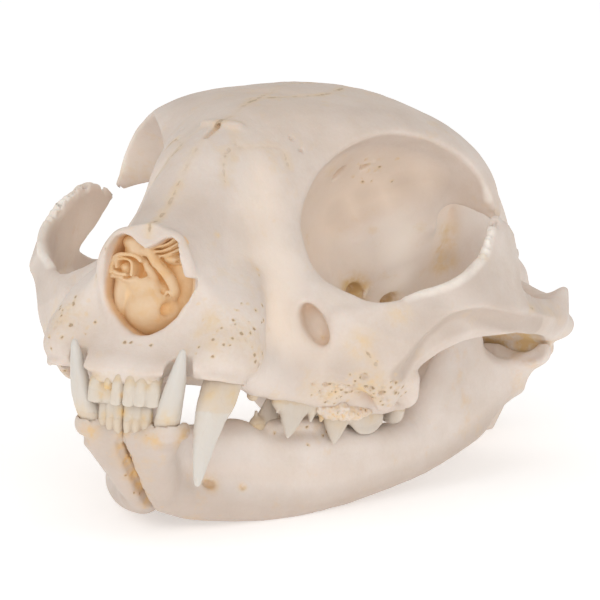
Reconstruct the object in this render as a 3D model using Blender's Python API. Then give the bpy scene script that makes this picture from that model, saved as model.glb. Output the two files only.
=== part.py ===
"""Skull of a domestic cat with its lower jaw, life size, resting on its jaw and on
the processes beside the neck joint.

Sizes are millimetres in the skull's own frame while the bone is shaped:
x to the cat's left, y from the front teeth backward, z up from the gum line of
the upper teeth.  The finished solids are tilted nose-up into the resting pose
and written in metres, nose toward -Y, origin at the middle of the footprint.
"""
import math

import bpy
import numpy as np
import openvdb

# ---------------------------------------------------------------- main sizes, mm
STEP = 0.5                      # spacing of the grid the bone is shaped on
NOSE_UP = 11.8                  # degrees from level tooth row to resting pose
FLOOR = -19.95                  # height of the floor below the tilted gum line
FOOTPRINT_MIDDLE = 46.64        # distance of the origin behind the front teeth
SEAM = 0.15                     # each jaw half stays this far from the midline
JAW_CLEARANCE = 0.55            # open space between upper and lower bones
SOCKET_CLEARANCE = 0.42         # open space round the root of a canine
GRID_LOW = (0.0, -4.0, -20.5)   # the half skull fits in this box
GRID_HIGH = (37.0, 95.0, 42.0)
TRIANGLES = {"cranium": 6300, "mandible_left": 1350, "mandible_right": 1350,
             "upper_canine_left": 240, "lower_canine_left": 220, "lower_canine_right": 220}
BONE_COLOUR = (0.72, 0.64, 0.55, 1.0)
ENAMEL_COLOUR = (0.78, 0.76, 0.72, 1.0)

# eye socket: an egg-shaped hollow whose mouth is the rim
SOCKET_MIDDLE = (19.5, 34.0, 20.6)
SOCKET_RADII = (13.9, 12.2, 14.3)
SOCKET_LONG_AXIS = (0.40, 0.88, 0.24)
SOCKET_DEPTH_AXIS = (0.703, -0.502, 0.502)

TOOTH_ROW = (0.42, 0.9, 0.0)    # direction of the cheek-tooth row on the left side


# ---------------------------------------------------------------- curves and blends
def smooth_path(points, samples):
    """Points along a smooth path through the given ones (Catmull-Rom)."""
    p = np.array(points, float)
    if len(p) == 2:
        return p[0] + (p[1] - p[0]) * np.linspace(0, 1, samples)[:, None]
    p = np.vstack([2 * p[0] - p[1], p, 2 * p[-1] - p[-2]])
    spans = len(p) - 3
    out = []
    for i in range(spans):
        a, b, c, d = p[i:i + 4]
        t = np.linspace(0, 1, samples, endpoint=(i == spans - 1))[:, None]
        out.append(0.5 * (2 * b + (c - a) * t + (2 * a - 5 * b + 4 * c - d) * t ** 2
                          + (3 * b - a - 3 * c + d) * t ** 3))
    return np.vstack(out)


def smooth_loop(points, samples=8):
    """Points round a smooth closed outline through the given ones."""
    p = np.array(points, float)
    out = []
    for i in range(len(p)):
        a, b, c, d = p[i - 1], p[i], p[(i + 1) % len(p)], p[(i + 2) % len(p)]
        t = np.linspace(0, 1, samples, endpoint=False)[:, None]
        out.append(0.5 * (2 * b + (c - a) * t + (2 * a - 5 * b + 4 * c - d) * t ** 2
                          + (3 * b - a - 3 * c + d) * t ** 3))
    return np.vstack(out)


def graded(knots, at):
    """Value read off a smooth graph through (place, value) knots, without overshoot."""
    k = np.array(knots, float)
    x, y = k[:, 0], k[:, 1]
    h = np.diff(x)
    s = np.diff(y) / h
    m = np.zeros_like(y)
    m[0], m[-1] = s[0], s[-1]
    for i in range(1, len(y) - 1):
        if s[i - 1] * s[i] > 0:
            w = h[i] + h[i - 1]
            m[i] = 3 * w / ((w + h[i]) / s[i - 1] + (w + h[i - 1]) / s[i])
    at = np.clip(at, x[0], x[-1])
    i = np.clip(np.searchsorted(x, at, side="right") - 1, 0, len(h) - 1)
    t = (at - x[i]) / h[i]
    value = ((2 * t ** 3 - 3 * t ** 2 + 1) * y[i] + (t ** 3 - 2 * t ** 2 + t) * h[i] * m[i]
             + (3 * t ** 2 - 2 * t ** 3) * y[i + 1] + (t ** 3 - t ** 2) * h[i] * m[i + 1])
    return value.astype(np.float32)


def melt(a, b, width):
    """The nearer of two surfaces, blended where they meet."""
    if width <= 0:
        return np.minimum(a, b)
    h = np.maximum(width - np.abs(a - b), 0) / width
    return np.minimum(a, b) - h * h * (width / 4)


def turned(axis, degrees):
    """Rotation matrix about x, y or z."""
    c, s = math.cos(math.radians(degrees)), math.sin(math.radians(degrees))
    i, j = {"x": (1, 2), "y": (2, 0), "z": (0, 1)}[axis]
    m = np.eye(3)
    m[i, i] = m[j, j] = c
    m[i, j], m[j, i] = -s, s
    return m


def socket_axes():
    """Rows: long axis, short axis and depth axis of the eye socket."""
    long_axis = np.array(SOCKET_LONG_AXIS)
    long_axis /= np.linalg.norm(long_axis)
    depth = np.array(SOCKET_DEPTH_AXIS)
    depth -= long_axis * depth.dot(long_axis)
    depth /= np.linalg.norm(depth)
    return np.stack([long_axis, np.cross(long_axis, depth), depth])


def outline_distance(outline, u, v):
    """Distance of every grid point (u, v) from a closed outline, negative inside."""
    p = np.array(outline, float)
    U, V = u[:, None], v[None, :]
    nearest = np.full((len(u), len(v)), 1e9, np.float32)
    inside = np.zeros((len(u), len(v)), bool)
    for (au, av), (bu, bv) in zip(p, np.roll(p, -1, 0)):
        eu, ev = bu - au, bv - av
        t = np.clip(((U - au) * eu + (V - av) * ev) / max(eu * eu + ev * ev, 1e-9), 0, 1)
        nearest = np.minimum(nearest, (U - au - t * eu) ** 2 + (V - av - t * ev) ** 2)
        if av != bv:
            inside ^= ((av > V) != (bv > V)) & (U < (bu - au) * (V - av) / (bv - av) + au)
    distance = np.sqrt(nearest)
    return np.where(inside, -distance, distance).astype(np.float32)


# ---------------------------------------------------------------- shaping bone
class Bone:
    """Half a bone as distances on a grid, negative inside; x = 0 is the midline."""

    def __init__(self):
        self.low = np.array(GRID_LOW)
        count = np.round((np.array(GRID_HIGH) - self.low) / STEP).astype(int) + 1
        self.axes = [(self.low[i] + STEP * np.arange(count[i])).astype(np.float32)
                     for i in range(3)]
        self.field = np.full(count, 6.0, np.float32)

    def window(self, low, high):
        cut = []
        for i in range(3):
            a = int(np.clip((low[i] - self.low[i]) // STEP, 0, len(self.axes[i]) - 1))
            b = int(np.clip((high[i] - self.low[i]) // STEP + 2, a + 1, len(self.axes[i])))
            cut.append(slice(a, b))
        x, y, z = (self.axes[i][cut[i]] for i in range(3))
        return tuple(cut), (x[:, None, None], y[None, :, None], z[None, None, :])

    def join(self, cut, distance, soft, take):
        """Add the shape to the bone, or take it away, with a soft meeting line."""
        here = self.field[cut]
        if take:
            self.field[cut] = -melt(-here, distance, soft)
        else:
            self.field[cut] = melt(here, distance, soft)

    def ball(self, middle, radii, axes=None, soft=0.0, take=False):
        """An egg: radii along the rows of axes."""
        c, r = np.array(middle, float), np.array(radii, float) * np.ones(3)
        m = np.eye(3) if axes is None else axes
        reach = np.sqrt((m.T ** 2) @ (r ** 2)) + 3 + soft
        cut, (x, y, z) = self.window(c - reach, c + reach)
        part = [(m[i, 0] * (x - c[0]) + m[i, 1] * (y - c[1]) + m[i, 2] * (z - c[2])) for i in range(3)]
        k0 = np.sqrt(sum((part[i] / r[i]) ** 2 for i in range(3)))
        k1 = np.sqrt(sum((part[i] / r[i] ** 2) ** 2 for i in range(3)))
        self.join(cut, k0 * (k0 - 1) / np.maximum(k1, 1e-6), soft, take)

    def bar(self, points, wide, thick=None, facing=(0, 0, 1), soft=0.0, take=False, samples=8):
        """A bar along a smooth path; wide and thick are half sizes at each point,
        wide measured along facing."""
        path = smooth_path(points, samples)
        n = len(points)
        at = np.linspace(0, n - 1, len(path))
        wide = np.broadcast_to(np.array(wide, float), (n,))
        thick = wide if thick is None else np.broadcast_to(np.array(thick, float), (n,))
        w = graded(list(enumerate(wide)), at) if n > 2 else np.interp(at, [0, 1], wide)
        t = graded(list(enumerate(thick)), at) if n > 2 else np.interp(at, [0, 1], thick)
        f = np.array(facing, float)
        reach = max(w.max(), t.max()) + 3 + soft
        cut, grid = self.window(path.min(0) - reach, path.max(0) + reach)
        out = np.full(self.field[cut].shape, 9.0, np.float32)
        first = [g.ravel()[0] for g in grid]
        for i in range(len(path) - 1):
            a, b = path[i], path[i + 1]
            length = np.linalg.norm(b - a)
            along = (b - a) / length
            near = []
            for j in range(3):
                lo = int(max((min(a[j], b[j]) - reach - first[j]) // STEP, 0))
                hi = int(max((max(a[j], b[j]) + reach - first[j]) // STEP + 2, lo))
                near.append(slice(lo, hi))
            near = tuple(near)
            if out[near].size == 0:
                continue
            x = grid[0][near[0]] - a[0]
            y = grid[1][:, near[1]] - a[1]
            z = grid[2][:, :, near[2]] - a[2]
            s = x * along[0] + y * along[1] + z * along[2]
            q = np.clip(s / length, 0, 1)
            side = f - along * f.dot(along)
            side /= np.linalg.norm(side)
            other = np.cross(along, side)
            p = (x * side[0] + y * side[1] + z * side[2], x * other[0] + y * other[1] + z * other[2],
                 s - q * length)
            r = (w[i] + (w[i + 1] - w[i]) * q, t[i] + (t[i + 1] - t[i]) * q)
            r = (*r, np.minimum(*r))
            k0 = np.sqrt(sum((p[j] / r[j]) ** 2 for j in range(3)))
            k1 = np.sqrt(sum((p[j] / r[j] ** 2) ** 2 for j in range(3)))
            out[near] = np.minimum(out[near], k0 * (k0 - 1) / np.maximum(k1, 1e-6))
        self.join(cut, out, soft, take)

    def hull(self, wide, top, bottom, waist, upper=2.0, lower=2.0, soft=0.0, take=False):
        """A symmetrical body along y: half width, top, bottom and height of the widest
        line as graphs over y; upper and lower say how square its sections are."""
        y = self.axes[1]
        W, T, B, M = (graded(k, y) for k in (wide, top, bottom, waist))
        up = graded(upper, y) if isinstance(upper, list) else np.full(len(y), upper, np.float32)
        lo = graded(lower, y) if isinstance(lower, list) else np.full(len(y), lower, np.float32)
        reach = 3 + soft
        y0, y1 = wide[0][0], wide[-1][0]
        cut, (x, yy, z) = self.window(
            (0, y0 - reach, min(v for _, v in bottom) - reach),
            (max(v for _, v in wide) + reach, y1 + reach, max(v for _, v in top) + reach))
        W, T, B, M, up, lo = (a[cut[1]][None, :, None] for a in (W, T, B, M, up, lo))
        rise = z - M
        high = rise >= 0
        tall = np.where(high, T - M, M - B)
        n = np.where(high, up, lo)
        r = ((np.abs(x) / W) ** n + (np.abs(rise) / tall) ** n) ** (1 / n)
        side = np.where(r > 0.05, np.sqrt(x ** 2 + rise ** 2) * (1 - 1 / np.maximum(r, 0.05)),
                        -np.minimum(W, tall))
        end = np.maximum(y0 - yy, yy - y1) + 0 * side
        self.join(cut, -melt(-side, -end, 1.5), soft, take)

    def plate(self, outline, middle, half, edge=None, soft=0.0, take=False):
        """A curved plate with rounded edges: outline in side view (y, z); middle gives
        its x and half its half thickness; edge thins it toward the outline."""
        o = smooth_loop(outline)
        cut, (x, y, z) = self.window((0, o[:, 0].min() - 4, o[:, 1].min() - 4),
                                     (40, o[:, 0].max() + 4, o[:, 1].max() + 4))
        d = outline_distance(o, y[0, :, 0], z[0, 0, :])
        Y, Z = y[0, :, 0][:, None], z[0, 0, :][None, :]
        mid = middle(Y, Z) + 0 * d
        gy, gz = np.gradient(mid, STEP)
        lean = 1 / np.sqrt(1 + np.minimum(gy ** 2 + gz ** 2, 4))
        h = half(Y, Z) + 0 * d
        if edge is not None:
            h = np.minimum(h, np.maximum(edge[0] - edge[1] * d, edge[0]))
        off = np.abs(x - mid[None]) * lean[None]
        past = np.maximum(d + h, 0)[None]
        inner = np.minimum(np.maximum(off, (d + h)[None]), 0)
        self.join(cut, inner + np.sqrt(off ** 2 + past ** 2) - h[None], soft, take)

    def tunnel(self, outline, y0, y1, soft=0.0, take=False):
        """A straight shape along y with an outline in front view (x, z)."""
        o = np.array(outline, float)
        cut, (x, y, z) = self.window((0, y0, o[:, 1].min() - 3), (o[:, 0].max() + 3, y1, o[:, 1].max() + 3))
        d = outline_distance(o, x[:, 0, 0], z[0, 0, :])[:, None, :]
        self.join(cut, np.maximum(d, np.maximum(y0 - y, y - y1)), soft, take)

    def keep_off(self, other, clearance):
        """Stay this far outside another bone."""
        self.field = np.maximum(self.field, clearance - other.field)

    def rest_on_floor(self):
        """Cut a small flat wherever the bone would dip below the floor."""
        a = math.radians(NOSE_UP)
        y, z = self.axes[1][None, :, None], self.axes[2][None, None, :]
        self.field = np.maximum(self.field, FLOOR - (z * math.cos(a) - y * math.sin(a)))


# ---------------------------------------------------------------- upper skull
def face(b):
    """Snout, nasal bones and the hollow front of the nose."""
    top = [(5, 18.4), (6.5, 18.9), (9, 20.9), (11, 23.2), (13, 25.9), (16, 28.6), (19, 30.4), (23, 32.0)]
    b.hull(wide=[(0.4, 5.6), (2, 8.2), (4, 10.8), (6, 12.6), (8, 13.2), (10, 12.8), (12.5, 12.2),
                 (15, 12.8), (18, 14.8), (21.5, 17.2), (24, 17.8), (30, 17.5), (38, 15)],
           top=[(0.4, 15.5), (1.2, 17.4), (2.6, 18.2)] + top + [(28, 34.4), (38, 36)],
           bottom=[(0.4, 0.5), (4, 1.1), (9, 1.2), (13, 0.4), (18, 0.0), (38, 0.5)],
           waist=[(0.4, 1.8), (4, 3.4), (8, 4.0), (20, 5), (38, 6)],
           upper=[(0.4, 1.5), (4, 1.4), (6, 1.3), (12, 1.3), (24, 1.36), (38, 1.6)], lower=3.0)
    b.hull(wide=[(1.6, 5.6), (6, 5.7), (12, 5.8), (20, 6.2), (26, 5.5)],
           top=[(1.6, 17.9), (3, 18.3)] + [(y, z + 0.1) for y, z in top] + [(26, 32.8)],
           bottom=[(1.6, 6), (26, 16)], waist=[(1.6, 11), (8, 12), (14, 18), (26, 26)],
           upper=2.5, lower=2.6, soft=2.6)
    b.bar([(-14, -2.6, 9.0), (14, -1.6, 9.2)], 7.2, soft=1.6, take=True)
    b.bar([(-9, -1.9, 18.6), (0, -0.4, 18.6), (9, -1.9, 18.6)], 4.6, soft=0.4, take=True)
    b.bar([(0, 5.5, 16.6), (1.4, 5.1, 17.1), (2.8, 4.7, 17.6), (4.0, 4.4, 17.4), (4.9, 4.2, 16.4), (5.5, 4.1, 15.0),
           (5.8, 4.3, 13.2), (5.8, 4.8, 11.2), (5.3, 5.2, 9.1), (4.0, 5.2, 7.0), (2.3, 5.0, 5.6), (0, 4.8, 5.1)],
          wide=0.4, soft=1.7)


def forehead(b):
    """Forehead out to the upper rim of the eye socket and its pointed process."""
    b.hull(wide=[(20, 9), (24, 10.8), (28, 12.6), (32, 18.6), (34, 21.0), (39, 24.0), (44, 26.2),
                 (47.5, 26.6), (50, 25.5)],
           top=[(20, 30.2), (23, 32.0), (28, 34.6), (33, 36.2), (41, 37.7), (50, 38.1)],
           bottom=[(20, 16), (50, 16)], waist=[(20, 21), (50, 22)],
           upper=[(20, 2.16), (26, 2.3), (34, 2.5), (44, 2.35), (50, 2.16)], soft=1.5)
    b.ball((27, 61, 24), (16, 13.0, 15.5), soft=0.8, take=True)
    b.ball((25.4, 52, 12.2), (13, 14, 12.1), soft=0.6, take=True)
    b.bar([(27.2, 49.5, 18.4), (24.8, 49.5, 20.3), (22.7, 49.7, 21.8), (20.5, 50.0, 23.0), (18.7, 50.6, 23.9)],
          wide=[3.1, 3.1, 3.1, 3.0, 2.7], soft=1.5, take=True)
    b.ball((30.7, 45, 19.6), (4.5, 6, 4.2), soft=0.5, take=True)
    b.bar([(24.6, 46.0, 25.0), (25.6, 46.1, 23.9)], wide=[0.9, 0.7], soft=0.8)


def braincase(b):
    b.hull(wide=[(36, 9.5), (42, 12.5), (48, 16.2), (54, 19.0), (60, 20.4), (66, 19.9), (72, 18.2),
                 (78, 15.6), (83, 12.6), (86.5, 9.4), (89, 6.4)],
           top=[(36, 36.6), (42, 37.6), (48, 38.1), (54, 38.0), (60, 37.2), (66, 35.7), (72, 33.2),
                (78, 29.8), (83, 26.0), (86.5, 22.8), (89, 19.4)],
           bottom=[(36, 10), (42, 9), (48, 7.5), (54, 6.5), (60, 6), (72, 5.8), (83, 6.4), (89, 8)],
           waist=[(36, 24), (42, 25), (48, 26), (54, 24.5), (60, 21.5), (66, 18.5), (72, 16), (89, 13)],
           upper=2.15, lower=[(36, 1.15), (48, 1.2), (54, 1.5), (60, 2.0), (70, 2.3), (89, 2.2)],
           soft=2.5)


def cheek(b):
    """Bone over the cheek teeth and the canine root, and the root of the arch."""
    b.bar([(10.5, 12, 2.6), (12.2, 18, 2.0), (14.4, 23, 1.8), (16.6, 29, 1.6), (18.2, 34, 1.7),
           (18.6, 38, 2.6)], wide=[2.4, 2.9, 3.2, 3.4, 3.4, 3.0], thick=[2.0, 2.1, 2.5, 3.0, 3.0, 2.4],
          soft=2.5)
    b.bar([(13.5, 20.5, 9.0), (18.5, 23.4, 7.4), (22.6, 27.4, 7.0)], wide=[5.0, 5.4, 5.6],
          thick=[3.0, 2.6, 2.1], facing=(0.1, 0.05, 1), soft=3.0)
    b.bar([(8.4, 13.5, 12.5), (9.8, 10.4, 8.5), (10.4, 8.2, 5.2), (10.4, 6.9, 3.9)],
          wide=[2.2, 3.2, 3.5, 3.2], soft=2.2)


def eye_sockets(b):
    b.ball(SOCKET_MIDDLE, SOCKET_RADII, socket_axes(), soft=1.0, take=True)
    b.ball((17, 44, 13), (9.5, 10, 8.2), soft=1.5, take=True)
    b.ball((4.6, 41.0, 13.0), (3.6, 5.6, 4.2), soft=2.0)
    b.ball((7.4, 51.0, 9.6), (4.2, 4.6, 3.6), soft=2.0)
    b.ball((6.2, 50.5, 19.0), (8.6, 9.0, 8.0), soft=3.0)


def zygomatic_arch(b):
    """Cheek bone: a curved plate with a tall process behind the eye socket."""
    bow = [(20, 19.5), (22, 21.4), (25, 24.4), (29, 27.7), (32, 29.8), (35, 31.3), (38, 32.4),
           (42, 33.2), (50, 33.2), (55, 32.2), (58, 30.9), (61, 28.2)]
    lean_up = [(20, 0.1), (29, 0.1), (34.6, -0.05), (38, -0.2), (42, -0.33), (48, -0.42), (52, -0.25),
               (55, 0.2), (58, 0.42), (61, 0.42)]
    lean_down = [(20, 0.15), (25, 0.2), (29, 0.42), (31.5, 0.58), (35, 0.6), (40, 0.1), (61, 0.05)]
    outline = [(19.5, 9.6), (22.0, 11.0), (25.3, 12.3), (28.8, 14.1), (31.8, 16.2), (34.6, 18.5),
               (37.0, 20.8), (39.4, 22.9), (41.6, 23.8), (44.4, 23.5), (47.2, 22.6), (47.0, 20.8),
               (46.2, 18.4), (45.2, 16.4), (45.4, 15.1), (50, 14.2), (54.6, 14.4), (56.8, 15.8),
               (58.6, 15.5), (59.3, 12.3), (58.8, 9.5), (56, 9.3), (50, 9.7), (45, 9.7), (41.4, 9.6),
               (37, 8.8), (33.5, 7.0), (31.6, 4.6), (31.0, 1.5), (31.0, -0.8), (28, -1.0), (25, 1),
               (22, 4)]

    def middle(y, z):
        y = np.clip(y, 20, 61)
        return (graded(bow, y) - 1.2 + graded(lean_up, y) * np.maximum(z - 12, 0)
                - graded(lean_down, y) * np.maximum(12 - z, 0))

    def half(y, z):
        plain = graded([(20, 2.2), (26, 2.0), (31, 1.6), (38, 1.5), (52, 1.5), (61, 1.8)], np.clip(y, 20, 61))
        return plain - 0.55 * np.clip((z - 13) / 4, 0, 1)

    b.plate(outline, middle, half, edge=(0.55, 0.32), soft=1.2)
    b.bar([(26.6, 25.6, 0.6), (28.8, 28.4, 4.6), (31.4, 31.2, 8.4), (34.0, 35.6, 10.2), (35.6, 42, 10.6),
           (36.0, 48, 10.6)], wide=[2.4, 2.5, 2.5, 2.3, 2.2, 1.6], soft=0.4, take=True)


def jaw_joint(b):
    """Back end of the arch, with the hollow and the ridge that hold the lower jaw."""
    b.bar([(31.2, 56.0, 12.1), (29.8, 58.6, 12.2), (26.5, 61.2, 12.2), (21.0, 63.2, 13.0), (16, 64.5, 14)],
          wide=[2.0, 2.5, 2.9, 3.8, 5], thick=[1.5, 2.0, 2.3, 3.0, 4], soft=1.6)
    b.bar([(17.5, 62.8, 9.8), (23, 62.6, 10.2), (29.5, 61.2, 11.0)], wide=[3.6, 3.6, 2.8],
          thick=[1.8, 2.0, 1.8], facing=(0, 1, 0.15), soft=1.5)
    b.bar([(19, 65.0, 7.6), (23.5, 65.2, 7.0), (27, 64.2, 8.6)], wide=[2.2, 2.4, 1.7],
          thick=[1.0, 1.0, 0.9], facing=(0, 0.1, 1), soft=1.2)


def palate(b):
    b.plate([(34, 1), (40, 1.0), (46, 2.2), (52, 2.2), (57.5, 0.2), (59.5, 0.6), (58, 3.5), (57.5, 8),
             (54, 12), (46, 14), (38, 13), (34, 8)],
            lambda y, z: graded([(34, 7.5), (40, 6.2), (46, 5.6), (60, 5.2)], np.clip(y, 34, 60)) + 0.06 * (z - 5),
            lambda y, z: 1.3 - 0.03 * np.clip(y - 34, 0, 22) + 0 * z, soft=1.2)
    b.hull(wide=[(20, 12), (30, 14.5), (38, 14), (42.5, 8)], top=[(20, 4.2), (42.5, 4.2)],
           bottom=[(20, 1.6), (42.5, 2.2)], waist=[(20, 3), (42.5, 3.2)], upper=6, lower=6, soft=1.0)


def skull_base(b):
    """Ear capsules, the processes beside the neck joint, condyles and crests."""
    b.ball((11.0, 73.5, 3.5), (6.6, 9.9, 8.6), turned("z", -14), soft=1.2)
    b.ball((15.5, 70, 8.8), (3.6, 4.8, 4.4), soft=2.0)
    b.bar([(17.0, 74, 16), (17.4, 78, 10), (16.0, 79.5, 5.5)], wide=[3, 2.8, 1.4], thick=[2.2, 2.0, 1.3],
          facing=(0, 1, 0), soft=3.0)
    b.bar([(12.8, 82, 9), (12.4, 82.2, 2), (12.0, 81.4, -2.4)], wide=[3.0, 2.4, 1.5],
          thick=[2.2, 1.7, 1.3], facing=(1, 0.2, 0), soft=2.0)
    b.ball((6.4, 87.4, 6.0), (3.5, 4.2, 4.9), turned("y", 25), soft=1.5)
    b.bar([(0, 88.4, 22.0), (5, 87.6, 22.0), (10, 84.8, 20.4), (14, 81, 16.8), (16.4, 78, 12)],
          wide=[2.0, 1.8, 1.7, 1.6, 1.5], thick=[1.0, 0.9, 0.8, 0.8, 0.8], facing=(0.25, 0.8, 0.5), soft=2.5)
    b.bar([(0, 74, 30.6), (0, 79, 28.9), (0, 84, 26.0), (0, 88.4, 22.4)], wide=[0.8, 1.2, 1.6, 2.0],
          thick=[0.7, 0.8, 0.9, 1.1],
          facing=(0, 0.4, 1), soft=2.5)


def openings(b):
    """Holes for the spinal cord, ears, inner nostrils, eye nerves and cheek nerve."""
    b.bar([(0, 96, 12.4), (0, 86, 12.6), (0, 76, 13.8)], wide=[6.6, 6.2, 5.0], thick=[5.4, 5.0, 4.4],
          facing=(1, 0, 0), soft=0.8, take=True)
    b.hull(wide=[(44, 5.6), (62, 6.2), (76, 7.4), (88.5, 6.0)], top=[(44, 9), (88.5, 7.8)],
           bottom=[(44, 6.4), (62, 5.0), (88.5, 5.2)], waist=[(44, 7.6), (88.5, 6.4)],
           upper=5, lower=5, soft=0.8)
    b.bar([(24, 71.0, 9.2), (13, 72, 7.8)], wide=[2.3, 1.8], soft=0.5, take=True)
    b.hull(wide=[(40, 4.2), (44, 4.6), (58, 4.6), (62, 3)], top=[(40, 8.6), (52, 5.6), (62, 4.6)],
           bottom=[(40, -3), (62, -3)], waist=[(40, 3), (62, 3)], upper=3, lower=8, soft=0.6, take=True)
    b.bar([(16.4, 14.6, 7.9), (15.6, 19.6, 8.7), (13.9, 25.6, 9.4)], wide=[2.9, 2.8, 2.3],
          thick=[1.5, 1.3, 1.5], facing=(-0.486, -0.227, 0.843), soft=0.5, take=True)
    b.ball((8.2, 51.5, 9.6), (2.4, 1.8, 1.6), turned("z", 35), soft=0.5, take=True)
    nostril = [(-2, 15.9), (0, 15.9), (1.2, 16.5), (2.2, 17.2), (3.3, 17.5), (4.2, 17.0), (4.8, 15.6),
               (5.15, 13.6), (5.4, 11.8), (5.2, 9.9), (4.3, 8.2), (2.8, 6.7), (1.2, 5.7), (0, 5.5), (-2, 5.5)]
    b.tunnel(nostril, -5, 14, soft=0.4, take=True)
    b.plate([(7, 5), (16, 5), (16, 17), (8.5, 17.5), (7.6, 11)], lambda y, z: 0 * y + 0 * z,
            lambda y, z: 0.6 + 0 * y + 0 * z, soft=0.5)


def crown(b, base, tip, wide, thick, facing=TOOTH_ROW, soft=0.3):
    """A pointed tooth crown."""
    base, tip = np.array(base, float), np.array(tip, float)
    b.bar([base, base + (tip - base) * 0.55, tip], wide=[wide, wide * 0.66, 0.32],
          thick=[thick, thick * 0.72, 0.3], facing=facing, soft=soft)


def upper_teeth(b):
    """Incisors, the stub behind the canine, two premolars and the small molar."""
    for x, y, w, low in ((0.95, 0.7, 0.78, -2.0), (2.6, 0.8, 0.82, -2.1), (4.3, 1.5, 1.0, -2.7)):
        b.bar([(x * 0.9, y + 2.4, 2.4), (x, y + 0.3, 0.0), (x, y - 0.1, low + 0.5)],
              wide=[w * 0.8, w, w * 0.9], thick=[0.9, 0.95, 0.5], facing=(1, 0.1, 0), soft=0.25)
    b.bar([(11.6, 14.4, 1.6), (11.7, 14.2, -0.5)], wide=[1.2, 0.8], soft=0.6)
    crown(b, (13.2, 20.6, -0.6), (13.2, 19.9, -5.0), 2.9, 1.25)
    b.bar([(12.4, 17.9, -0.9), (13.4, 20.8, -1.6), (14.6, 23.9, -0.9)], wide=[1.0, 1.3, 1.1],
          thick=[0.8, 1.1, 0.9], soft=0.3)
    crown(b, (14.7, 23.8, -0.8), (14.7, 23.4, -2.9), 1.0, 0.9)
    crown(b, (16.0, 27.4, -0.8), (15.9, 27.2, -5.3), 3.0, 1.5)
    b.bar([(15.4, 25.0, -1.2), (16.2, 28.4, -1.6), (17.6, 32.0, -2.2), (18.5, 34.4, -1.8)],
          wide=[1.3, 1.6, 1.7, 1.2], thick=[1.1, 1.3, 1.1, 0.8], soft=0.3)
    crown(b, (17.2, 31.6, -1.6), (17.5, 32.0, -4.1), 2.2, 0.9)
    crown(b, (13.6, 26.6, -0.2), (13.4, 26.8, -2.2), 1.1, 1.1)
    b.bar([(17.0, 38.0, -0.6), (18.9, 37.5, -0.9)], wide=[0.9, 0.9], soft=0.3)


# ---------------------------------------------------------------- lower jaw
def mandible(b):
    """One half of the lower jaw: body, chin, ramus with its three processes."""
    lower_edge = [(4, -12), (12, -15.5), (26, -15), (37, -12), (46, -8.7), (52, -5.5), (58, 0), (62, 2)]
    bow = [(4, 1.0), (8, 1.1), (11, 1.2), (14, 2.3), (17, 4.3), (20, 6.6), (24, 9.3), (62, 25.38)]
    thickness = [(0, 1.6), (8, 1.4), (11, 1.4), (14, 1.8), (17, 2.4), (25, 2.7), (38, 2.6), (44, 2.2), (49, 1.7), (64, 1.4)]
    outline = [(3, -6.0), (3.2, -7.9), (6, -10.0), (8.0, -12.4), (10.2, -14.3), (13, -15.4), (16.2, -15.8),
               (20.8, -15.5), (26.1, -15.0), (32.6, -13.4), (37.3, -11.9), (46, -8.7), (51.6, -5.7),
               (54.8, -3.6), (56.4, -1.6), (57.6, 0.2), (59.5, 1.4), (61.0, 2.2), (61.2, 3.8), (61.0, 5.4),
               (60.0, 6.3), (57.2, 6.9), (54.8, 8.0), (54.2, 10.5), (55.0, 14), (56.2, 17.0), (57.0, 19.2),
               (56.4, 20.4), (54.6, 20.0), (52.2, 17.8), (49.4, 14.2), (46.4, 8), (44.0, 2.4), (41.4, -1.8), (37, -3.0),
               (30, -3.4), (24, -4.4), (20.6, -4.2), (18.2, -3.5), (15.2, -4.3), (12, -4.7), (8.5, -4.9),
               (6, -5.2)]

    def middle(y, z):
        y = np.clip(y, 4, 62)
        return graded(bow, y) + 0.14 * np.clip(z - graded(lower_edge, y), 0, 10)

    def half(y, z):
        h = graded(thickness, np.clip(y, 0, 64))
        return h - (h - 0.95) * np.clip((z + 1) / 7, 0, 1)

    b.plate(outline, middle, half)
    b.bar([(2.2, 4.2, -7.3), (2.1, 6.2, -8.9), (1.9, 9.4, -11.3), (1.5, 12.2, -13.2)],
          wide=[2.0, 2.5, 2.6, 2.1], thick=[2.7, 2.5, 2.1, 1.6], facing=(0, -0.7, -0.7), soft=1.4)
    b.bar([(4.6, 3.9, -6.2), (3.3, 5.7, -8.5), (2.3, 8.8, -11.0)], wide=[2.1, 1.8, 1.5], soft=1.0)
    b.bar([(0.5, 2.6, -6.7), (2.6, 2.9, -6.7), (4.2, 3.7, -6.3)], wide=[1.1, 1.1, 1.5], soft=1.2)
    b.bar([(3.4, 14, -13.4), (7.2, 20, -12.8), (10.0, 26, -12.0), (14.6, 37, -9.4), (18.4, 46, -6.4),
           (21.4, 53.4, -2.6)], wide=[2.2, 2.6, 2.6, 2.3, 1.9, 1.5], soft=1.6)
    b.ball((28.2, 50.0, 5.0), (5.0, 7.2, 8.5), turned("z", 15), soft=1.0, take=True)
    b.bar([(18.6, 60.2, 6.4), (24, 60.2, 6.6), (28.4, 58.9, 7.6)], wide=[1.5, 1.8, 1.4], soft=1.5)
    b.bar([(21.8, 55.6, 1.4), (23.4, 59.4, 4.8), (27.4, 59.0, 6.8)], wide=[1.6, 1.7, 1.2], soft=2.0)
    b.ball((27.6, 54.4, 8.2), (4.6, 4.4, 3.2), turned("z", 15), soft=0.6, take=True)
    b.bar([(21.6, 55, -1.2), (23.2, 58.6, 1.8), (23.9, 60.6, 3.0)], wide=[1.6, 1.4, 1.0], soft=1.5)


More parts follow.
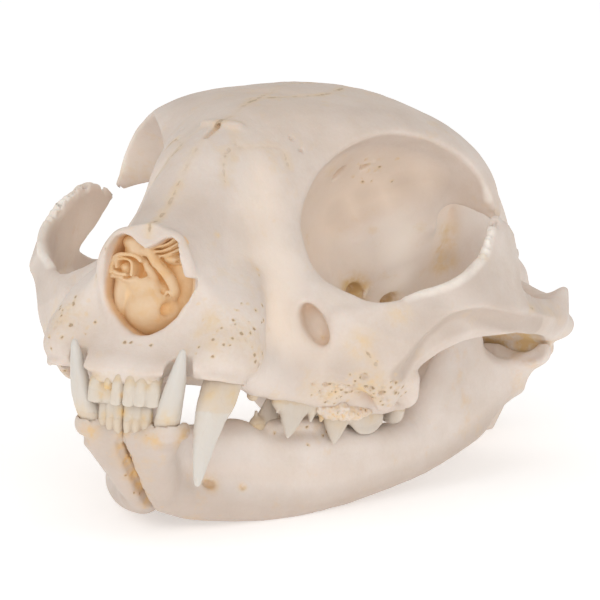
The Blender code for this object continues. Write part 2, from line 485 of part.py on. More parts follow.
def lower_teeth(b):
    """Incisors, two premolars and the two-pointed molar."""
    for x, y, w, top in ((0.85, 2.2, 0.56, -1.9), (2.05, 2.4, 0.6, -1.9), (3.2, 3.0, 0.68, -1.7)):
        b.bar([(x * 0.95, y + 0.6, -6.4), (x, y, -4.4), (x, y - 0.2, top - 0.4)],
              wide=[w * 0.8, w, w * 0.95], thick=[0.9, 0.8, 0.4], facing=(1, 0.1, 0), soft=0.25)
    crown(b, (9.6, 21.2, -4.4), (9.8, 21.0, -0.6), 2.4, 1.1)
    b.bar([(8.8, 19.0, -3.9), (10.6, 23.2, -3.7)], wide=[0.9, 0.9], thick=[0.8, 0.8], soft=0.3)
    crown(b, (12.2, 26.8, -4.0), (12.4, 26.6, 0.4), 2.8, 1.2)
    b.bar([(11.0, 24.4, -3.5), (13.6, 29.8, -3.2)], wide=[1.0, 1.0], thick=[0.9, 0.9], soft=0.3)
    crown(b, (14.6, 32.4, -3.6), (14.2, 31.6, 0.9), 2.6, 1.2)
    crown(b, (15.8, 35.6, -3.4), (15.6, 36.0, 1.6), 2.6, 1.2)


def upper_canine(b):
    b.bar([(8.8, 12.0, 9.5), (10.0, 8.8, 4.6), (10.2, 6.2, -0.4), (10.0, 4.9, -3.1), (9.4, 4.9, -6.8),
           (8.95, 5.3, -9.6), (8.6, 5.75, -11.2)], wide=[1.2, 2.3, 2.35, 2.0, 1.4, 0.85, 0.42],
          thick=[1.0, 2.0, 2.05, 1.75, 1.2, 0.75, 0.4], facing=TOOTH_ROW)


def lower_canine(b):
    b.bar([(2.2, 9.2, -10.8), (3.5, 6.0, -8.4), (5.0, 3.5, -4.6), (5.9, 2.4, -2.1), (6.6, 2.0, 1.0),
           (7.05, 1.7, 3.2), (7.2, 1.65, 4.1)], wide=[0.7, 1.2, 1.6, 1.5, 1.15, 0.65, 0.38],
          thick=[0.6, 1.0, 1.4, 1.3, 1.0, 0.6, 0.36], facing=TOOTH_ROW)


# ---------------------------------------------------------------- solids
def shaped(*makers):
    bone = Bone()
    for make in makers:
        make(bone)
    return bone


def solid(name, field, side, material, collection):
    """Mesh the field, tilt it into the resting pose and thin it to its share of faces.
    side is 0 for a field that starts at the midline and is to be mirrored whole,
    +1 for the cat's left half only, -1 for the right half only."""
    if side == 0:
        field = np.concatenate([field[:0:-1], field], 0)
        low = (-GRID_HIGH[0], GRID_LOW[1], GRID_LOW[2])
    elif side > 0:
        field = np.concatenate([np.full((2,) + field.shape[1:], 3.0, np.float32), field], 0)
        low = (-2 * STEP, GRID_LOW[1], GRID_LOW[2])
    else:
        field = np.concatenate([field[::-1], np.full((2,) + field.shape[1:], 3.0, np.float32)], 0)
        low = (-GRID_HIGH[0], GRID_LOW[1], GRID_LOW[2])
    grid = openvdb.FloatGrid(background=3.0)
    grid.copyFromArray(np.ascontiguousarray(np.clip(field, -3, 3).astype(np.float32)))
    grid.transform = openvdb.createLinearTransform(voxelSize=STEP)
    points, triangles, quads = grid.convertToPolygons(isovalue=0.0, adaptivity=0.0)
    points = points + np.array(low)
    a = math.radians(NOSE_UP)
    y = points[:, 1] * math.cos(a) + points[:, 2] * math.sin(a)
    z = points[:, 2] * math.cos(a) - points[:, 1] * math.sin(a)
    placed = np.stack([points[:, 0], y - FOOTPRINT_MIDDLE, z - FLOOR], 1) * 0.001
    faces = [tuple(map(int, f)) for f in quads] + [tuple(map(int, f)) for f in triangles]
    dense = bpy.data.meshes.new(name + "_dense")
    dense.from_pydata(placed.tolist(), [], faces)
    dense.update()
    maker = bpy.data.objects.new(name + "_dense", dense)
    bpy.context.scene.collection.objects.link(maker)
    biggest_piece(dense)
    thin = maker.modifiers.new("fewer faces", "DECIMATE")
    thin.ratio = TRIANGLES[name] / max(sum(len(p.vertices) - 2 for p in dense.polygons), 1)
    thin.use_collapse_triangulate = True
    bpy.context.view_layer.update()
    mesh = bpy.data.meshes.new_from_object(maker.evaluated_get(bpy.context.evaluated_depsgraph_get()))
    bpy.data.objects.remove(maker)
    bpy.data.meshes.remove(dense)
    mesh.name = name
    for v in mesh.vertices:
        if v.co.z < 0.00003:
            v.co.z = 0.0
    mesh.materials.clear()
    mesh.materials.append(material)
    body = bpy.data.objects.new(name, mesh)
    collection.objects.link(body)
    return body


def biggest_piece(mesh):
    """Drop crumbs that came loose from the main body."""
    import bmesh
    bm = bmesh.new()
    bm.from_mesh(mesh)
    bm.verts.ensure_lookup_table()
    seen, groups = set(), []
    for v in bm.verts:
        if v.index in seen:
            continue
        group, todo = [], [v]
        seen.add(v.index)
        while todo:
            w = todo.pop()
            group.append(w)
            for e in w.link_edges:
                o = e.other_vert(w)
                if o.index not in seen:
                    seen.add(o.index)
                    todo.append(o)
        groups.append(group)
    groups.sort(key=len)
    for group in groups[:-1]:
        bmesh.ops.delete(bm, geom=group, context="VERTS")
    bm.to_mesh(mesh)
    bm.free()


def principled(name, colour, roughness):
    m = bpy.data.materials.new(name)
    m.use_nodes = True
    shader = m.node_tree.nodes["Principled BSDF"]
    shader.inputs["Base Color"].default_value = colour
    shader.inputs["Roughness"].default_value = roughness
    return m


def main():
    for old in list(bpy.data.objects):
        bpy.data.objects.remove(old)
    skull = bpy.data.collections.new("cat_skull")
    bpy.context.scene.collection.children.link(skull)

    upper = shaped(face, forehead, braincase, cheek, eye_sockets, zygomatic_arch, jaw_joint, palate,
                   skull_base, openings, upper_teeth)
    lower = shaped(mandible, lower_teeth)
    fang, lower_fang = shaped(upper_canine), shaped(lower_canine)
    upper.keep_off(fang, SOCKET_CLEARANCE)
    upper.keep_off(lower_fang, 0.75)
    lower.keep_off(lower_fang, SOCKET_CLEARANCE)
    lower.keep_off(upper, JAW_CLEARANCE)
    lower.keep_off(fang, JAW_CLEARANCE)
    lower_fang.keep_off(fang, JAW_CLEARANCE)
    lower.field = np.maximum(lower.field, SEAM - lower.axes[0][:, None, None])
    for bone in (upper, lower):
        bone.rest_on_floor()

    for name, bone, side, colour, roughness in (
            ("cranium", upper, 0, BONE_COLOUR, 0.6),
            ("mandible_left", lower, 1, BONE_COLOUR, 0.6),
            ("mandible_right", lower, -1, BONE_COLOUR, 0.6),
            ("upper_canine_left", fang, 1, ENAMEL_COLOUR, 0.3),
            ("lower_canine_left", lower_fang, 1, ENAMEL_COLOUR, 0.3),
            ("lower_canine_right", lower_fang, -1, ENAMEL_COLOUR, 0.3)):
        solid(name, bone.field, side, principled(name + "_surface", colour, roughness), skull)


main()
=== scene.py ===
import math

import bpy
import numpy as np
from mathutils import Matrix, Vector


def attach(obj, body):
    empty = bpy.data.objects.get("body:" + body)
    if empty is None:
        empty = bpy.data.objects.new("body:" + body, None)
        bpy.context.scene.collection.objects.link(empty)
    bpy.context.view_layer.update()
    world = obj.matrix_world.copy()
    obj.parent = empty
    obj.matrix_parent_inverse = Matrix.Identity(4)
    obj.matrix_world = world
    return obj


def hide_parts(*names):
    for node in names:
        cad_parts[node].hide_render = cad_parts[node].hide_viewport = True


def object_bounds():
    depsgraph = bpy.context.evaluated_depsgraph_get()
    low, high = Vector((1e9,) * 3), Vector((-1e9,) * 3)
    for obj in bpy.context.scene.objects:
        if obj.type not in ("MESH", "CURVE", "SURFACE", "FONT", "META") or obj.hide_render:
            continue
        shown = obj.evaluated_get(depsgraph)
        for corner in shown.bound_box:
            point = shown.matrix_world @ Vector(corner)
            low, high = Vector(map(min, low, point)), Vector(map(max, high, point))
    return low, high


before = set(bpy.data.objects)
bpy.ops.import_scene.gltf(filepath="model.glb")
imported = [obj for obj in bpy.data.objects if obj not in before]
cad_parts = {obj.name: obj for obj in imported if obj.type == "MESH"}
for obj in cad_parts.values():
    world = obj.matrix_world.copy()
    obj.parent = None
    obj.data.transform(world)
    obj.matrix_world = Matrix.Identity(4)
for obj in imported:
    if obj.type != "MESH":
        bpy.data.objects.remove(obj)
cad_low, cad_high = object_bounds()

import openvdb
from mathutils import Matrix, Vector

# ================================================================ upper skull
# The upper skull of the cat: one light, hard box of fused bones.  It is dry, cleaned bone,
# thin at its rims and porous round the tooth roots.  Its left half is shaped first, then
# mirrored, and the few things that differ between left and right come last.

# Shapes are distances on a grid in the skull's own frame, in mm: x to the cat's left,
# y backward from the front teeth, z up from the gum line.

BONE_STEP = 0.25      # grid spacing for the large bones, mm
NOSE_UP = 11.8                               # degrees from level tooth row to resting pose
FLOOR = -19.95                               # height of the floor below the tilted gum line
FOOTPRINT_MIDDLE = 46.64                     # distance of the origin behind the front teeth
HALF_LOW, HALF_HIGH = (0.0, -4.0, -20.5), (37.0, 95.0, 42.0)
ALONG_ROW = (0.42, 0.9, 0.0)                 # direction of the left cheek-tooth row
BETWEEN_KNOTS = 8                            # points on a smooth line per given point
EMPTY, UNREACHED = 6.0, 9.0                  # mm held by an empty grid, and where no bar reaches


def smooth_span(a, b, c, d, t):
    """Points from b (t 0) to c (t 1) on the smooth line through a, b, c and d (Catmull-Rom)."""
    return 0.5 * (2 * b + (c - a) * t + (2 * a - 5 * b + 4 * c - d) * t ** 2
                  + (3 * b - a - 3 * c + d) * t ** 3)


def smooth_path(points, samples=BETWEEN_KNOTS):
    """Points along a smooth path through the given ones."""
    p = np.array(points, float)
    if len(p) == 2:
        return p[0] + (p[1] - p[0]) * np.linspace(0, 1, samples)[:, None]
    p = np.vstack([2 * p[0] - p[1], p, 2 * p[-1] - p[-2]])
    spans = len(p) - 3
    out = []
    for i in range(spans):
        t = np.linspace(0, 1, samples, endpoint=(i == spans - 1))[:, None]
        out.append(smooth_span(*p[i:i + 4], t))
    return np.vstack(out)


def smooth_loop(points):
    """Points round a smooth closed outline through the given ones."""
    p = np.array(points, float)
    t = np.linspace(0, 1, BETWEEN_KNOTS, endpoint=False)[:, None]
    return np.vstack([smooth_span(*(p[(i + j) % len(p)] for j in (-1, 0, 1, 2)), t)
                      for i in range(len(p))])


def graded(knots, at):
    """Value read off a smooth graph through (place, value) knots, without overshoot."""
    k = np.array(knots, float)
    x, y = k[:, 0], k[:, 1]
    h = np.diff(x)
    s = np.diff(y) / h
    m = np.zeros_like(y)
    m[0], m[-1] = s[0], s[-1]
    for i in range(1, len(y) - 1):
        if s[i - 1] * s[i] > 0:
            w = h[i] + h[i - 1]
            m[i] = 3 * w / ((w + h[i]) / s[i - 1] + (w + h[i - 1]) / s[i])
    at = np.clip(at, x[0], x[-1])
    i = np.clip(np.searchsorted(x, at, side="right") - 1, 0, len(h) - 1)
    t = (at - x[i]) / h[i]
    value = ((2 * t ** 3 - 3 * t ** 2 + 1) * y[i] + (t ** 3 - 2 * t ** 2 + t) * h[i] * m[i]
             + (3 * t ** 2 - 2 * t ** 3) * y[i + 1] + (t ** 3 - t ** 2) * h[i] * m[i + 1])
    return value.astype(np.float32)


def melt(a, b, width):
    """The nearer of two surfaces, blended where they meet."""
    if width <= 0:
        return np.minimum(a, b)
    h = np.maximum(width - np.abs(a - b), 0) / width
    return np.minimum(a, b) - h * h * (width / 4)


def egg(place, radii):
    """Distance from an egg's surface, from the place along its three axes."""
    k0 = np.sqrt(sum((p / r) ** 2 for p, r in zip(place, radii)))
    k1 = np.sqrt(sum((p / r ** 2) ** 2 for p, r in zip(place, radii)))
    return k0 * (k0 - 1) / np.maximum(k1, 1e-6)


def turned(axis, degrees):
    """Rotation matrix about x, y or z."""
    c, s = math.cos(math.radians(degrees)), math.sin(math.radians(degrees))
    i, j = {"x": (1, 2), "y": (2, 0), "z": (0, 1)}[axis]
    m = np.eye(3)
    m[i, i] = m[j, j] = c
    m[i, j], m[j, i] = -s, s
    return m


def line_distance(line, u, v, closed):
    """Distance of every grid point (u, v) from a line; negative inside a closed one."""
    p = np.array(line, float)
    U, V = u[:, None], v[None, :]
    nearest = np.full((len(u), len(v)), 1e9, np.float32)
    inside = np.zeros((len(u), len(v)), bool)
    ends = zip(p, np.roll(p, -1, 0)) if closed else zip(p[:-1], p[1:])
    for (au, av), (bu, bv) in ends:
        eu, ev = bu - au, bv - av
        t = np.clip(((U - au) * eu + (V - av) * ev) / max(eu * eu + ev * ev, 1e-9), 0, 1)
        nearest = np.minimum(nearest, (U - au - t * eu) ** 2 + (V - av - t * ev) ** 2)
        if closed and av != bv:
            inside ^= ((av > V) != (bv > V)) & (U < (bu - au) * (V - av) / (bv - av) + au)
    distance = np.sqrt(nearest)
    return np.where(inside, -distance, distance).astype(np.float32)


class Bone:
    """A body as distances on a grid, negative inside."""

    def __init__(self, low=HALF_LOW, high=HALF_HIGH, step=BONE_STEP):
        self.low, self.high, self.step = np.array(low, float), np.array(high, float), step
        count = np.round((self.high - self.low) / step).astype(int) + 1
        self.axes = [(self.low[i] + step * np.arange(count[i])).astype(np.float32) for i in range(3)]
        self.field = np.full(count, EMPTY, np.float32)

    def window(self, low, high):
        """The part of the grid from low to high: its slices and its coordinates."""
        cut = []
        for i in range(3):
            a = int(np.clip((low[i] - self.low[i]) // self.step, 0, len(self.axes[i]) - 1))
            b = int(np.clip((high[i] - self.low[i]) // self.step + 2, a + 1, len(self.axes[i])))
            cut.append(slice(a, b))
        x, y, z = (self.axes[i][cut[i]] for i in range(3))
        return tuple(cut), (x[:, None, None], y[None, :, None], z[None, None, :])

    def join(self, cut, distance, soft, take):
        """Add the shape to the bone, or take it away, with a soft meeting line."""
        here = self.field[cut]
        if take:
            self.field[cut] = -melt(-here, distance, soft)
        else:
            self.field[cut] = melt(here, distance, soft)

    def ball(self, middle, radii, axes=None, soft=0.0, take=False):
        """An egg: radii along the rows of axes."""
        c, r = np.array(middle, float), np.array(radii, float) * np.ones(3)
        m = np.eye(3) if axes is None else axes
        reach = np.sqrt((m.T ** 2) @ (r ** 2)) + 3 + soft
        cut, (x, y, z) = self.window(c - reach, c + reach)
        place = [m[i, 0] * (x - c[0]) + m[i, 1] * (y - c[1]) + m[i, 2] * (z - c[2]) for i in range(3)]
        self.join(cut, egg(place, r), soft, take)

    def bar(self, points, wide, thick=None, facing=(0, 0, 1), soft=0.0, take=False):
        """A bar along a smooth path; wide and thick are half sizes at each point,
        wide measured along facing."""
        path = smooth_path(points)
        n = len(points)
        at = np.linspace(0, n - 1, len(path))
        wide = np.broadcast_to(np.array(wide, float), (n,))
        thick = wide if thick is None else np.broadcast_to(np.array(thick, float), (n,))
        w = graded(list(enumerate(wide)), at) if n > 2 else np.interp(at, [0, 1], wide)
        t = graded(list(enumerate(thick)), at) if n > 2 else np.interp(at, [0, 1], thick)
        f = np.array(facing, float)
        reach = max(w.max(), t.max()) + 1.5 + soft
        cut, grid = self.window(path.min(0) - reach, path.max(0) + reach)
        out = np.full(self.field[cut].shape, UNREACHED, np.float32)
        first = [g.ravel()[0] for g in grid]
        for i in range(len(path) - 1):
            a, b = path[i], path[i + 1]
            length = np.linalg.norm(b - a)
            along = (b - a) / length
            near = []
            for j in range(3):
                lo = int(max((min(a[j], b[j]) - reach - first[j]) // self.step, 0))
                hi = int(max((max(a[j], b[j]) + reach - first[j]) // self.step + 2, lo))
                near.append(slice(lo, hi))
            near = tuple(near)
            if out[near].size == 0:
                continue
            x = grid[0][near[0]] - a[0]
            y = grid[1][:, near[1]] - a[1]
            z = grid[2][:, :, near[2]] - a[2]
            s = x * along[0] + y * along[1] + z * along[2]
            q = np.clip(s / length, 0, 1)
            side = f - along * f.dot(along)
            if np.linalg.norm(side) < 1e-6:       # the bar runs along facing itself
                side = np.array((1.0, 0.0, 0.0))
            side /= np.linalg.norm(side)
            other = np.cross(along, side)
            p = (x * side[0] + y * side[1] + z * side[2],
                 x * other[0] + y * other[1] + z * other[2], s - q * length)
            r = (w[i] + (w[i + 1] - w[i]) * q, t[i] + (t[i + 1] - t[i]) * q)
            out[near] = np.minimum(out[near], egg(p, (*r, np.minimum(*r))))
        self.join(cut, out, soft, take)

    def hull(self, wide, top, bottom, waist, upper=2.0, lower=2.0, soft=0.0, take=False):
        """A symmetrical body along y: half width, top, bottom and height of the widest
        line as graphs over y; upper and lower say how square its sections are."""
        y = self.axes[1]
        W, T, B, M = (graded(k, y) for k in (wide, top, bottom, waist))
        up = graded(upper, y) if isinstance(upper, list) else np.full(len(y), upper, np.float32)
        lo = graded(lower, y) if isinstance(lower, list) else np.full(len(y), lower, np.float32)
        reach = 3 + soft
        y0, y1 = wide[0][0], wide[-1][0]
        cut, (x, yy, z) = self.window(
            (0, y0 - reach, min(v for _, v in bottom) - reach),
            (max(v for _, v in wide) + reach, y1 + reach, max(v for _, v in top) + reach))
        W, T, B, M, up, lo = (a[cut[1]][None, :, None] for a in (W, T, B, M, up, lo))
        rise = z - M
        high = rise >= 0
        tall = np.where(high, T - M, M - B)
        n = np.where(high, up, lo)
        r = ((np.abs(x) / W) ** n + (np.abs(rise) / tall) ** n) ** (1 / n)
        side = np.where(r > 0.05, np.sqrt(x ** 2 + rise ** 2) * (1 - 1 / np.maximum(r, 0.05)),
                        -np.minimum(W, tall))
        end = np.maximum(y0 - yy, yy - y1) + 0 * side
        self.join(cut, -melt(-side, -end, 1.5), soft, take)

    def plate(self, outline, middle, half, edge=None, soft=0.0, take=False):
        """A curved plate with rounded edges: outline in side view (y, z); middle gives
        its x and half its half thickness; edge thins it toward the outline."""
        o = smooth_loop(outline)
        cut, (x, y, z) = self.window((self.low[0], o[:, 0].min() - 4, o[:, 1].min() - 4),
                                     (self.high[0], o[:, 0].max() + 4, o[:, 1].max() + 4))
        Y, Z = y[0, :, 0][:, None], z[0, 0, :][None, :]
        d = line_distance(o, Y.ravel(), Z.ravel(), True)
        mid = middle(Y, Z) + 0 * d
        gy, gz = np.gradient(mid, self.step)
        lean = 1 / np.sqrt(1 + np.minimum(gy ** 2 + gz ** 2, 4))
        h = half(Y, Z) + 0 * d
        if edge is not None:
            h = np.minimum(h, np.maximum(edge[0] - edge[1] * d, edge[0]))
        off = np.abs(x - mid[None]) * lean[None]
        past = np.maximum(d + h, 0)[None]
        inner = np.minimum(np.maximum(off, (d + h)[None]), 0)
        self.join(cut, inner + np.sqrt(off ** 2 + past ** 2) - h[None], soft, take)

    def tunnel(self, outline, y0, y1, soft=0.0, take=False):
        """A straight shape along y with an outline in front view (x, z)."""
        o = np.array(outline, float)
        cut, (x, y, z) = self.window((0, y0, o[:, 1].min() - 3),
                                     (o[:, 0].max() + 3, y1, o[:, 1].max() + 3))
        d = line_distance(o, x[:, 0, 0], z[0, 0, :], True)[:, None, :]
        self.join(cut, np.maximum(d, np.maximum(y0 - y, y - y1)), soft, take)

    def leaf(self, line, y0, y1, half, lean=(0.0, 0.0), soft=0.0):
        """A thin curled sheet of bone running back from y0 to y1: its line in front view
        (x, z), moved by lean (x, z) for each mm of depth, half its half thickness."""
        path = smooth_path(line)
        for i, at in enumerate(self.axes[1]):
            if y0 - half - 1 < at < y1 + half + 1:
                move = np.array(lean) * (at - y0)
                d = line_distance(path + move, self.axes[0], self.axes[2], False)
                past = max(y0 - at, at - y1, 0.0)
                self.field[:, i] = melt(self.field[:, i], np.sqrt(d ** 2 + past ** 2) - half, soft)

    def keep_off(self, other, clearance):
        """Stay this far outside another body."""
        self.field = np.maximum(self.field, clearance - other.field)

    def rest_on_floor(self):
        """Cut a small flat wherever the bone would dip below the floor."""
        a = math.radians(NOSE_UP)
        y, z = self.axes[1][None, :, None], self.axes[2][None, None, :]
        self.field = np.maximum(self.field, FLOOR - (z * math.cos(a) - y * math.sin(a)))

    def copy(self):
        """A second bone of the same shape."""
        twin = Bone.__new__(Bone)
        twin.low, twin.high, twin.step, twin.axes = self.low, self.high, self.step, self.axes
        twin.field = self.field.copy()
        return twin


def face(b):
    """Snout, nasal bones and the hollow front of the nose."""
    top = [(5, 18.4), (6.5, 18.9), (9, 20.9), (11, 23.2), (13, 25.9), (16, 28.6), (19, 30.4), (23, 32.0)]
    # the snout, from the tooth row up to the nasal bones
    b.hull(wide=[(0.4, 5.6), (2, 8.2), (4, 10.8), (6, 12.6), (8, 13.2), (10, 12.8), (12.5, 12.2),
                 (15, 12.8), (18, 14.8), (21.5, 17.2), (24, 17.8), (30, 17.5), (38, 15)],
           top=[(0.4, 15.5), (1.2, 17.4), (2.6, 18.2)] + top + [(28, 34.4), (38, 36)],
           bottom=[(0.4, 0.5), (4, 1.1), (9, 1.2), (13, 0.4), (18, 0.0), (38, 0.5)],
           waist=[(0.4, 1.8), (4, 3.4), (8, 4.0), (20, 5), (38, 6)],
           upper=[(0.4, 1.5), (4, 1.4), (6, 1.3), (12, 1.3), (24, 1.36), (38, 1.6)], lower=3.0)
    # the ridge of the two nasal bones
    b.hull(wide=[(1.6, 5.6), (6, 5.7), (12, 5.8), (20, 6.2), (26, 5.5)],
           top=[(1.6, 17.9), (3, 18.3)] + [(y, z + 0.1) for y, z in top] + [(26, 32.8)],
           bottom=[(1.6, 6), (26, 16)], waist=[(1.6, 11), (8, 12), (14, 18), (26, 26)],
           upper=2.5, lower=2.6, soft=2.6)
    # the front is set back round the nose opening, and farther at its top
    b.bar([(-14, -2.6, 9.0), (14, -1.6, 9.2)], 7.2, soft=1.6, take=True)
    b.bar([(-9, -1.9, 18.6), (0, -0.4, 18.6), (9, -1.9, 18.6)], 4.6, soft=0.4, take=True)
    # thin raised rim of the opening
    b.bar([(0, 5.5, 16.6), (1.4, 5.1, 17.1), (2.8, 4.7, 17.6), (4.0, 4.4, 17.4), (4.9, 4.2, 16.4),
           (5.5, 4.1, 15.0), (5.8, 4.3, 13.2), (5.8, 4.8, 11.2), (5.3, 5.2, 9.1), (4.0, 5.2, 7.0),
           (2.3, 5.0, 5.6), (0, 4.8, 5.1)], wide=0.38, soft=1.3)


def forehead(b):
    """Forehead out to the upper rim of the eye socket and its pointed process."""
    b.hull(wide=[(20, 9), (24, 10.8), (28, 12.6), (32, 18.6), (34, 21.0), (39, 24.0), (44, 26.2),
                 (47.5, 26.6), (50, 25.5)],
           top=[(20, 30.2), (23, 32.0), (28, 34.6), (33, 36.2), (41, 37.7), (50, 38.1)],
           bottom=[(20, 16), (50, 16)], waist=[(20, 21), (50, 22)],
           upper=[(20, 2.16), (26, 2.3), (34, 2.5), (44, 2.35), (50, 2.16)], soft=1.5)
    # hollows behind and below the process of the socket's rim
    b.ball((27, 61, 24), (16, 13.0, 15.5), soft=0.8, take=True)
    b.ball((25.4, 52, 12.2), (13, 14, 12.1), soft=0.6, take=True)
    b.bar([(27.2, 49.5, 18.4), (24.8, 49.5, 20.3), (22.7, 49.7, 21.8), (20.5, 50.0, 23.0),
           (18.7, 50.6, 23.9)], wide=[3.1, 3.1, 3.1, 3.0, 2.7], soft=1.5, take=True)
    b.ball((30.7, 45, 19.6), (4.5, 6, 4.2), soft=0.5, take=True)
    # blunt point of the process
    b.bar([(24.6, 46.0, 25.0), (25.6, 46.1, 23.9)], wide=[0.9, 0.7], soft=0.8)


def braincase(b):
    """The rounded box for the brain, from behind the forehead to the neck."""
    b.hull(wide=[(36, 9.5), (42, 12.5), (48, 16.2), (54, 19.0), (60, 20.4), (66, 19.9), (72, 18.2),
                 (78, 15.6), (83, 12.6), (86.5, 9.4), (89, 6.4)],
           top=[(36, 36.6), (42, 37.6), (48, 38.1), (54, 38.0), (60, 37.2), (66, 35.7), (72, 33.2),
                (78, 29.8), (83, 26.0), (86.5, 22.8), (89, 19.4)],
           bottom=[(36, 10), (42, 9), (48, 7.5), (54, 6.5), (60, 6), (72, 5.8), (83, 6.4), (89, 8)],
           waist=[(36, 24), (42, 25), (48, 26), (54, 24.5), (60, 21.5), (66, 18.5), (72, 16), (89, 13)],
           upper=2.15, lower=[(36, 1.15), (48, 1.2), (54, 1.5), (60, 2.0), (70, 2.3), (89, 2.2)],
           soft=2.5)


def cheek(b):
    """Bone over the cheek teeth and the canine root, and the root of the arch."""
    # along the cheek teeth
    b.bar([(10.5, 12, 2.6), (12.2, 18, 2.0), (14.4, 23, 1.8), (16.6, 29, 1.6), (18.2, 34, 1.7),
           (18.6, 38, 2.6)], wide=[2.4, 2.9, 3.2, 3.4, 3.4, 3.0], thick=[2.0, 2.1, 2.5, 3.0, 3.0, 2.4],
          soft=2.5)
    # out to the root of the arch
    b.bar([(13.5, 20.5, 9.0), (18.5, 23.4, 7.4), (22.6, 27.4, 7.0)], wide=[5.0, 5.4, 5.6],
          thick=[3.0, 2.6, 2.1], facing=(0.1, 0.05, 1), soft=3.0)
    # bulge over the canine's root
    b.bar([(8.4, 13.5, 12.5), (9.8, 10.4, 8.5), (10.4, 8.2, 5.2), (10.4, 6.9, 3.9)],
          wide=[2.2, 3.2, 3.5, 3.2], soft=2.2)


SOCKET_MIDDLE = (19.5, 34.0, 20.6)
SOCKET_RADII = (13.9, 12.2, 14.3)
SOCKET_LONG_AXIS = (0.40, 0.88, 0.24)
SOCKET_DEPTH_AXIS = (0.703, -0.502, 0.502)


def eye_sockets(b):
    """The big side hollow for the eye, and the thin walls that stand behind it."""
    depth, long_axis = np.array(SOCKET_DEPTH_AXIS), np.array(SOCKET_LONG_AXIS)
    long_axis /= np.linalg.norm(long_axis)
    depth -= long_axis * depth.dot(long_axis)
    depth /= np.linalg.norm(depth)
    axes = np.stack([long_axis, np.cross(long_axis, depth), depth])
    # the hollow, and the space below and behind it
    b.ball(SOCKET_MIDDLE, SOCKET_RADII, axes, soft=1.0, take=True)
    b.ball((17, 44, 13), (9.5, 10, 8.2), soft=1.5, take=True)
    # swellings and a ridge of the wall behind the eye
    b.ball((4.6, 41.0, 13.0), (3.6, 5.6, 4.2), soft=2.0)
    b.ball((7.4, 51.0, 9.6), (4.2, 4.6, 3.6), soft=2.0)
    b.ball((6.2, 50.5, 19.0), (8.6, 9.0, 8.0), soft=3.0)
    b.bar([(15.8, 47.4, 25.8), (13.6, 46.4, 23.6), (11.5, 44.6, 21.6), (9.0, 42.3, 19.6), (6.2, 40.0, 18.2)],
          wide=[1.2, 1.6, 1.7, 1.6, 1.2], soft=2.2)
    # shallow groove down that wall
    b.bar([(17.6, 52.3, 24.0), (17.5, 53.0, 21.5), (16.7, 53.8, 18.4), (16.0, 54.2, 15.6)],
          wide=[0.25, 0.45, 0.6, 0.5], soft=1.6, take=True)


def zygomatic_arch(b):
    """Cheek bone: a curved plate with a tall process behind the eye socket."""
    bow = [(20, 19.5), (22, 21.4), (25, 24.4), (29, 27.7), (32, 29.8), (35, 31.3), (38, 32.4),
           (42, 33.2), (50, 33.2), (55, 32.2), (58, 30.9), (61, 28.2)]
    lean_up = [(20, 0.1), (29, 0.1), (34.6, -0.05), (38, -0.2), (42, -0.33), (48, -0.42), (52, -0.25),
               (55, 0.2), (58, 0.42), (61, 0.42)]
    lean_down = [(20, 0.15), (25, 0.2), (29, 0.42), (31.5, 0.58), (35, 0.6), (40, 0.1), (61, 0.05)]
    outline = [(19.5, 9.6), (22.0, 11.0), (25.3, 12.3), (28.8, 14.1), (31.8, 16.2), (34.6, 18.5),
               (37.0, 20.8), (39.4, 22.9), (41.6, 23.8), (44.4, 23.5), (47.2, 22.6), (47.0, 20.8),
               (46.2, 18.4), (45.2, 16.4), (45.4, 15.1), (50, 14.2), (54.6, 14.4), (56.8, 15.8),
               (58.6, 15.5), (59.3, 12.3), (58.8, 9.5), (56, 9.3), (50, 9.7), (45, 9.7), (41.4, 9.6),
               (37, 8.8), (33.5, 7.0), (31.6, 4.6), (31.0, 1.5), (31.0, -0.8), (28, -1.0), (25, 1),
               (22, 4)]

    def middle(y, z):
        y = np.clip(y, 20, 61)
        return (graded(bow, y) - 1.2 + graded(lean_up, y) * np.maximum(z - 12, 0)
                - graded(lean_down, y) * np.maximum(12 - z, 0))

    def half(y, z):
        plain = graded([(20, 2.2), (26, 2.0), (31, 1.6), (38, 1.5), (52, 1.5), (61, 1.8)],
                       np.clip(y, 20, 61))
        return plain - 0.55 * np.clip((z - 13) / 4, 0, 1)

    b.plate(outline, middle, half, edge=(0.55, 0.32), soft=1.2)
    # band where the chewing muscle was fixed
    b.bar([(26.6, 25.6, 0.6), (28.8, 28.4, 4.6), (31.4, 31.2, 8.4), (34.0, 35.6, 10.2), (35.6, 42, 10.6),
           (36.0, 48, 10.6)], wide=[2.4, 2.5, 2.5, 2.3, 2.2, 1.6], soft=0.4, take=True)


def jaw_joint(b):
    """Back end of the arch, with the hollow and the ridge that hold the lower jaw."""
    # the arch bends in to the braincase
    b.bar([(31.2, 56.0, 12.1), (29.8, 58.6, 12.2), (26.5, 61.2, 12.2), (21.0, 63.2, 13.0), (16, 64.5, 14)],
          wide=[2.0, 2.5, 2.9, 3.8, 5], thick=[1.5, 2.0, 2.3, 3.0, 4], soft=1.6)
    # ridge behind the joint, and the lip under it
    b.bar([(17.5, 62.8, 9.8), (23, 62.6, 10.2), (29.5, 61.2, 11.0)], wide=[3.6, 3.6, 2.8],
          thick=[1.8, 2.0, 1.8], facing=(0, 1, 0.15), soft=1.5)
    b.bar([(19, 65.0, 7.6), (23.5, 65.2, 7.0), (27, 64.2, 8.6)], wide=[2.2, 2.4, 1.7],
          thick=[1.0, 1.0, 0.9], facing=(0, 0.1, 1), soft=1.2)


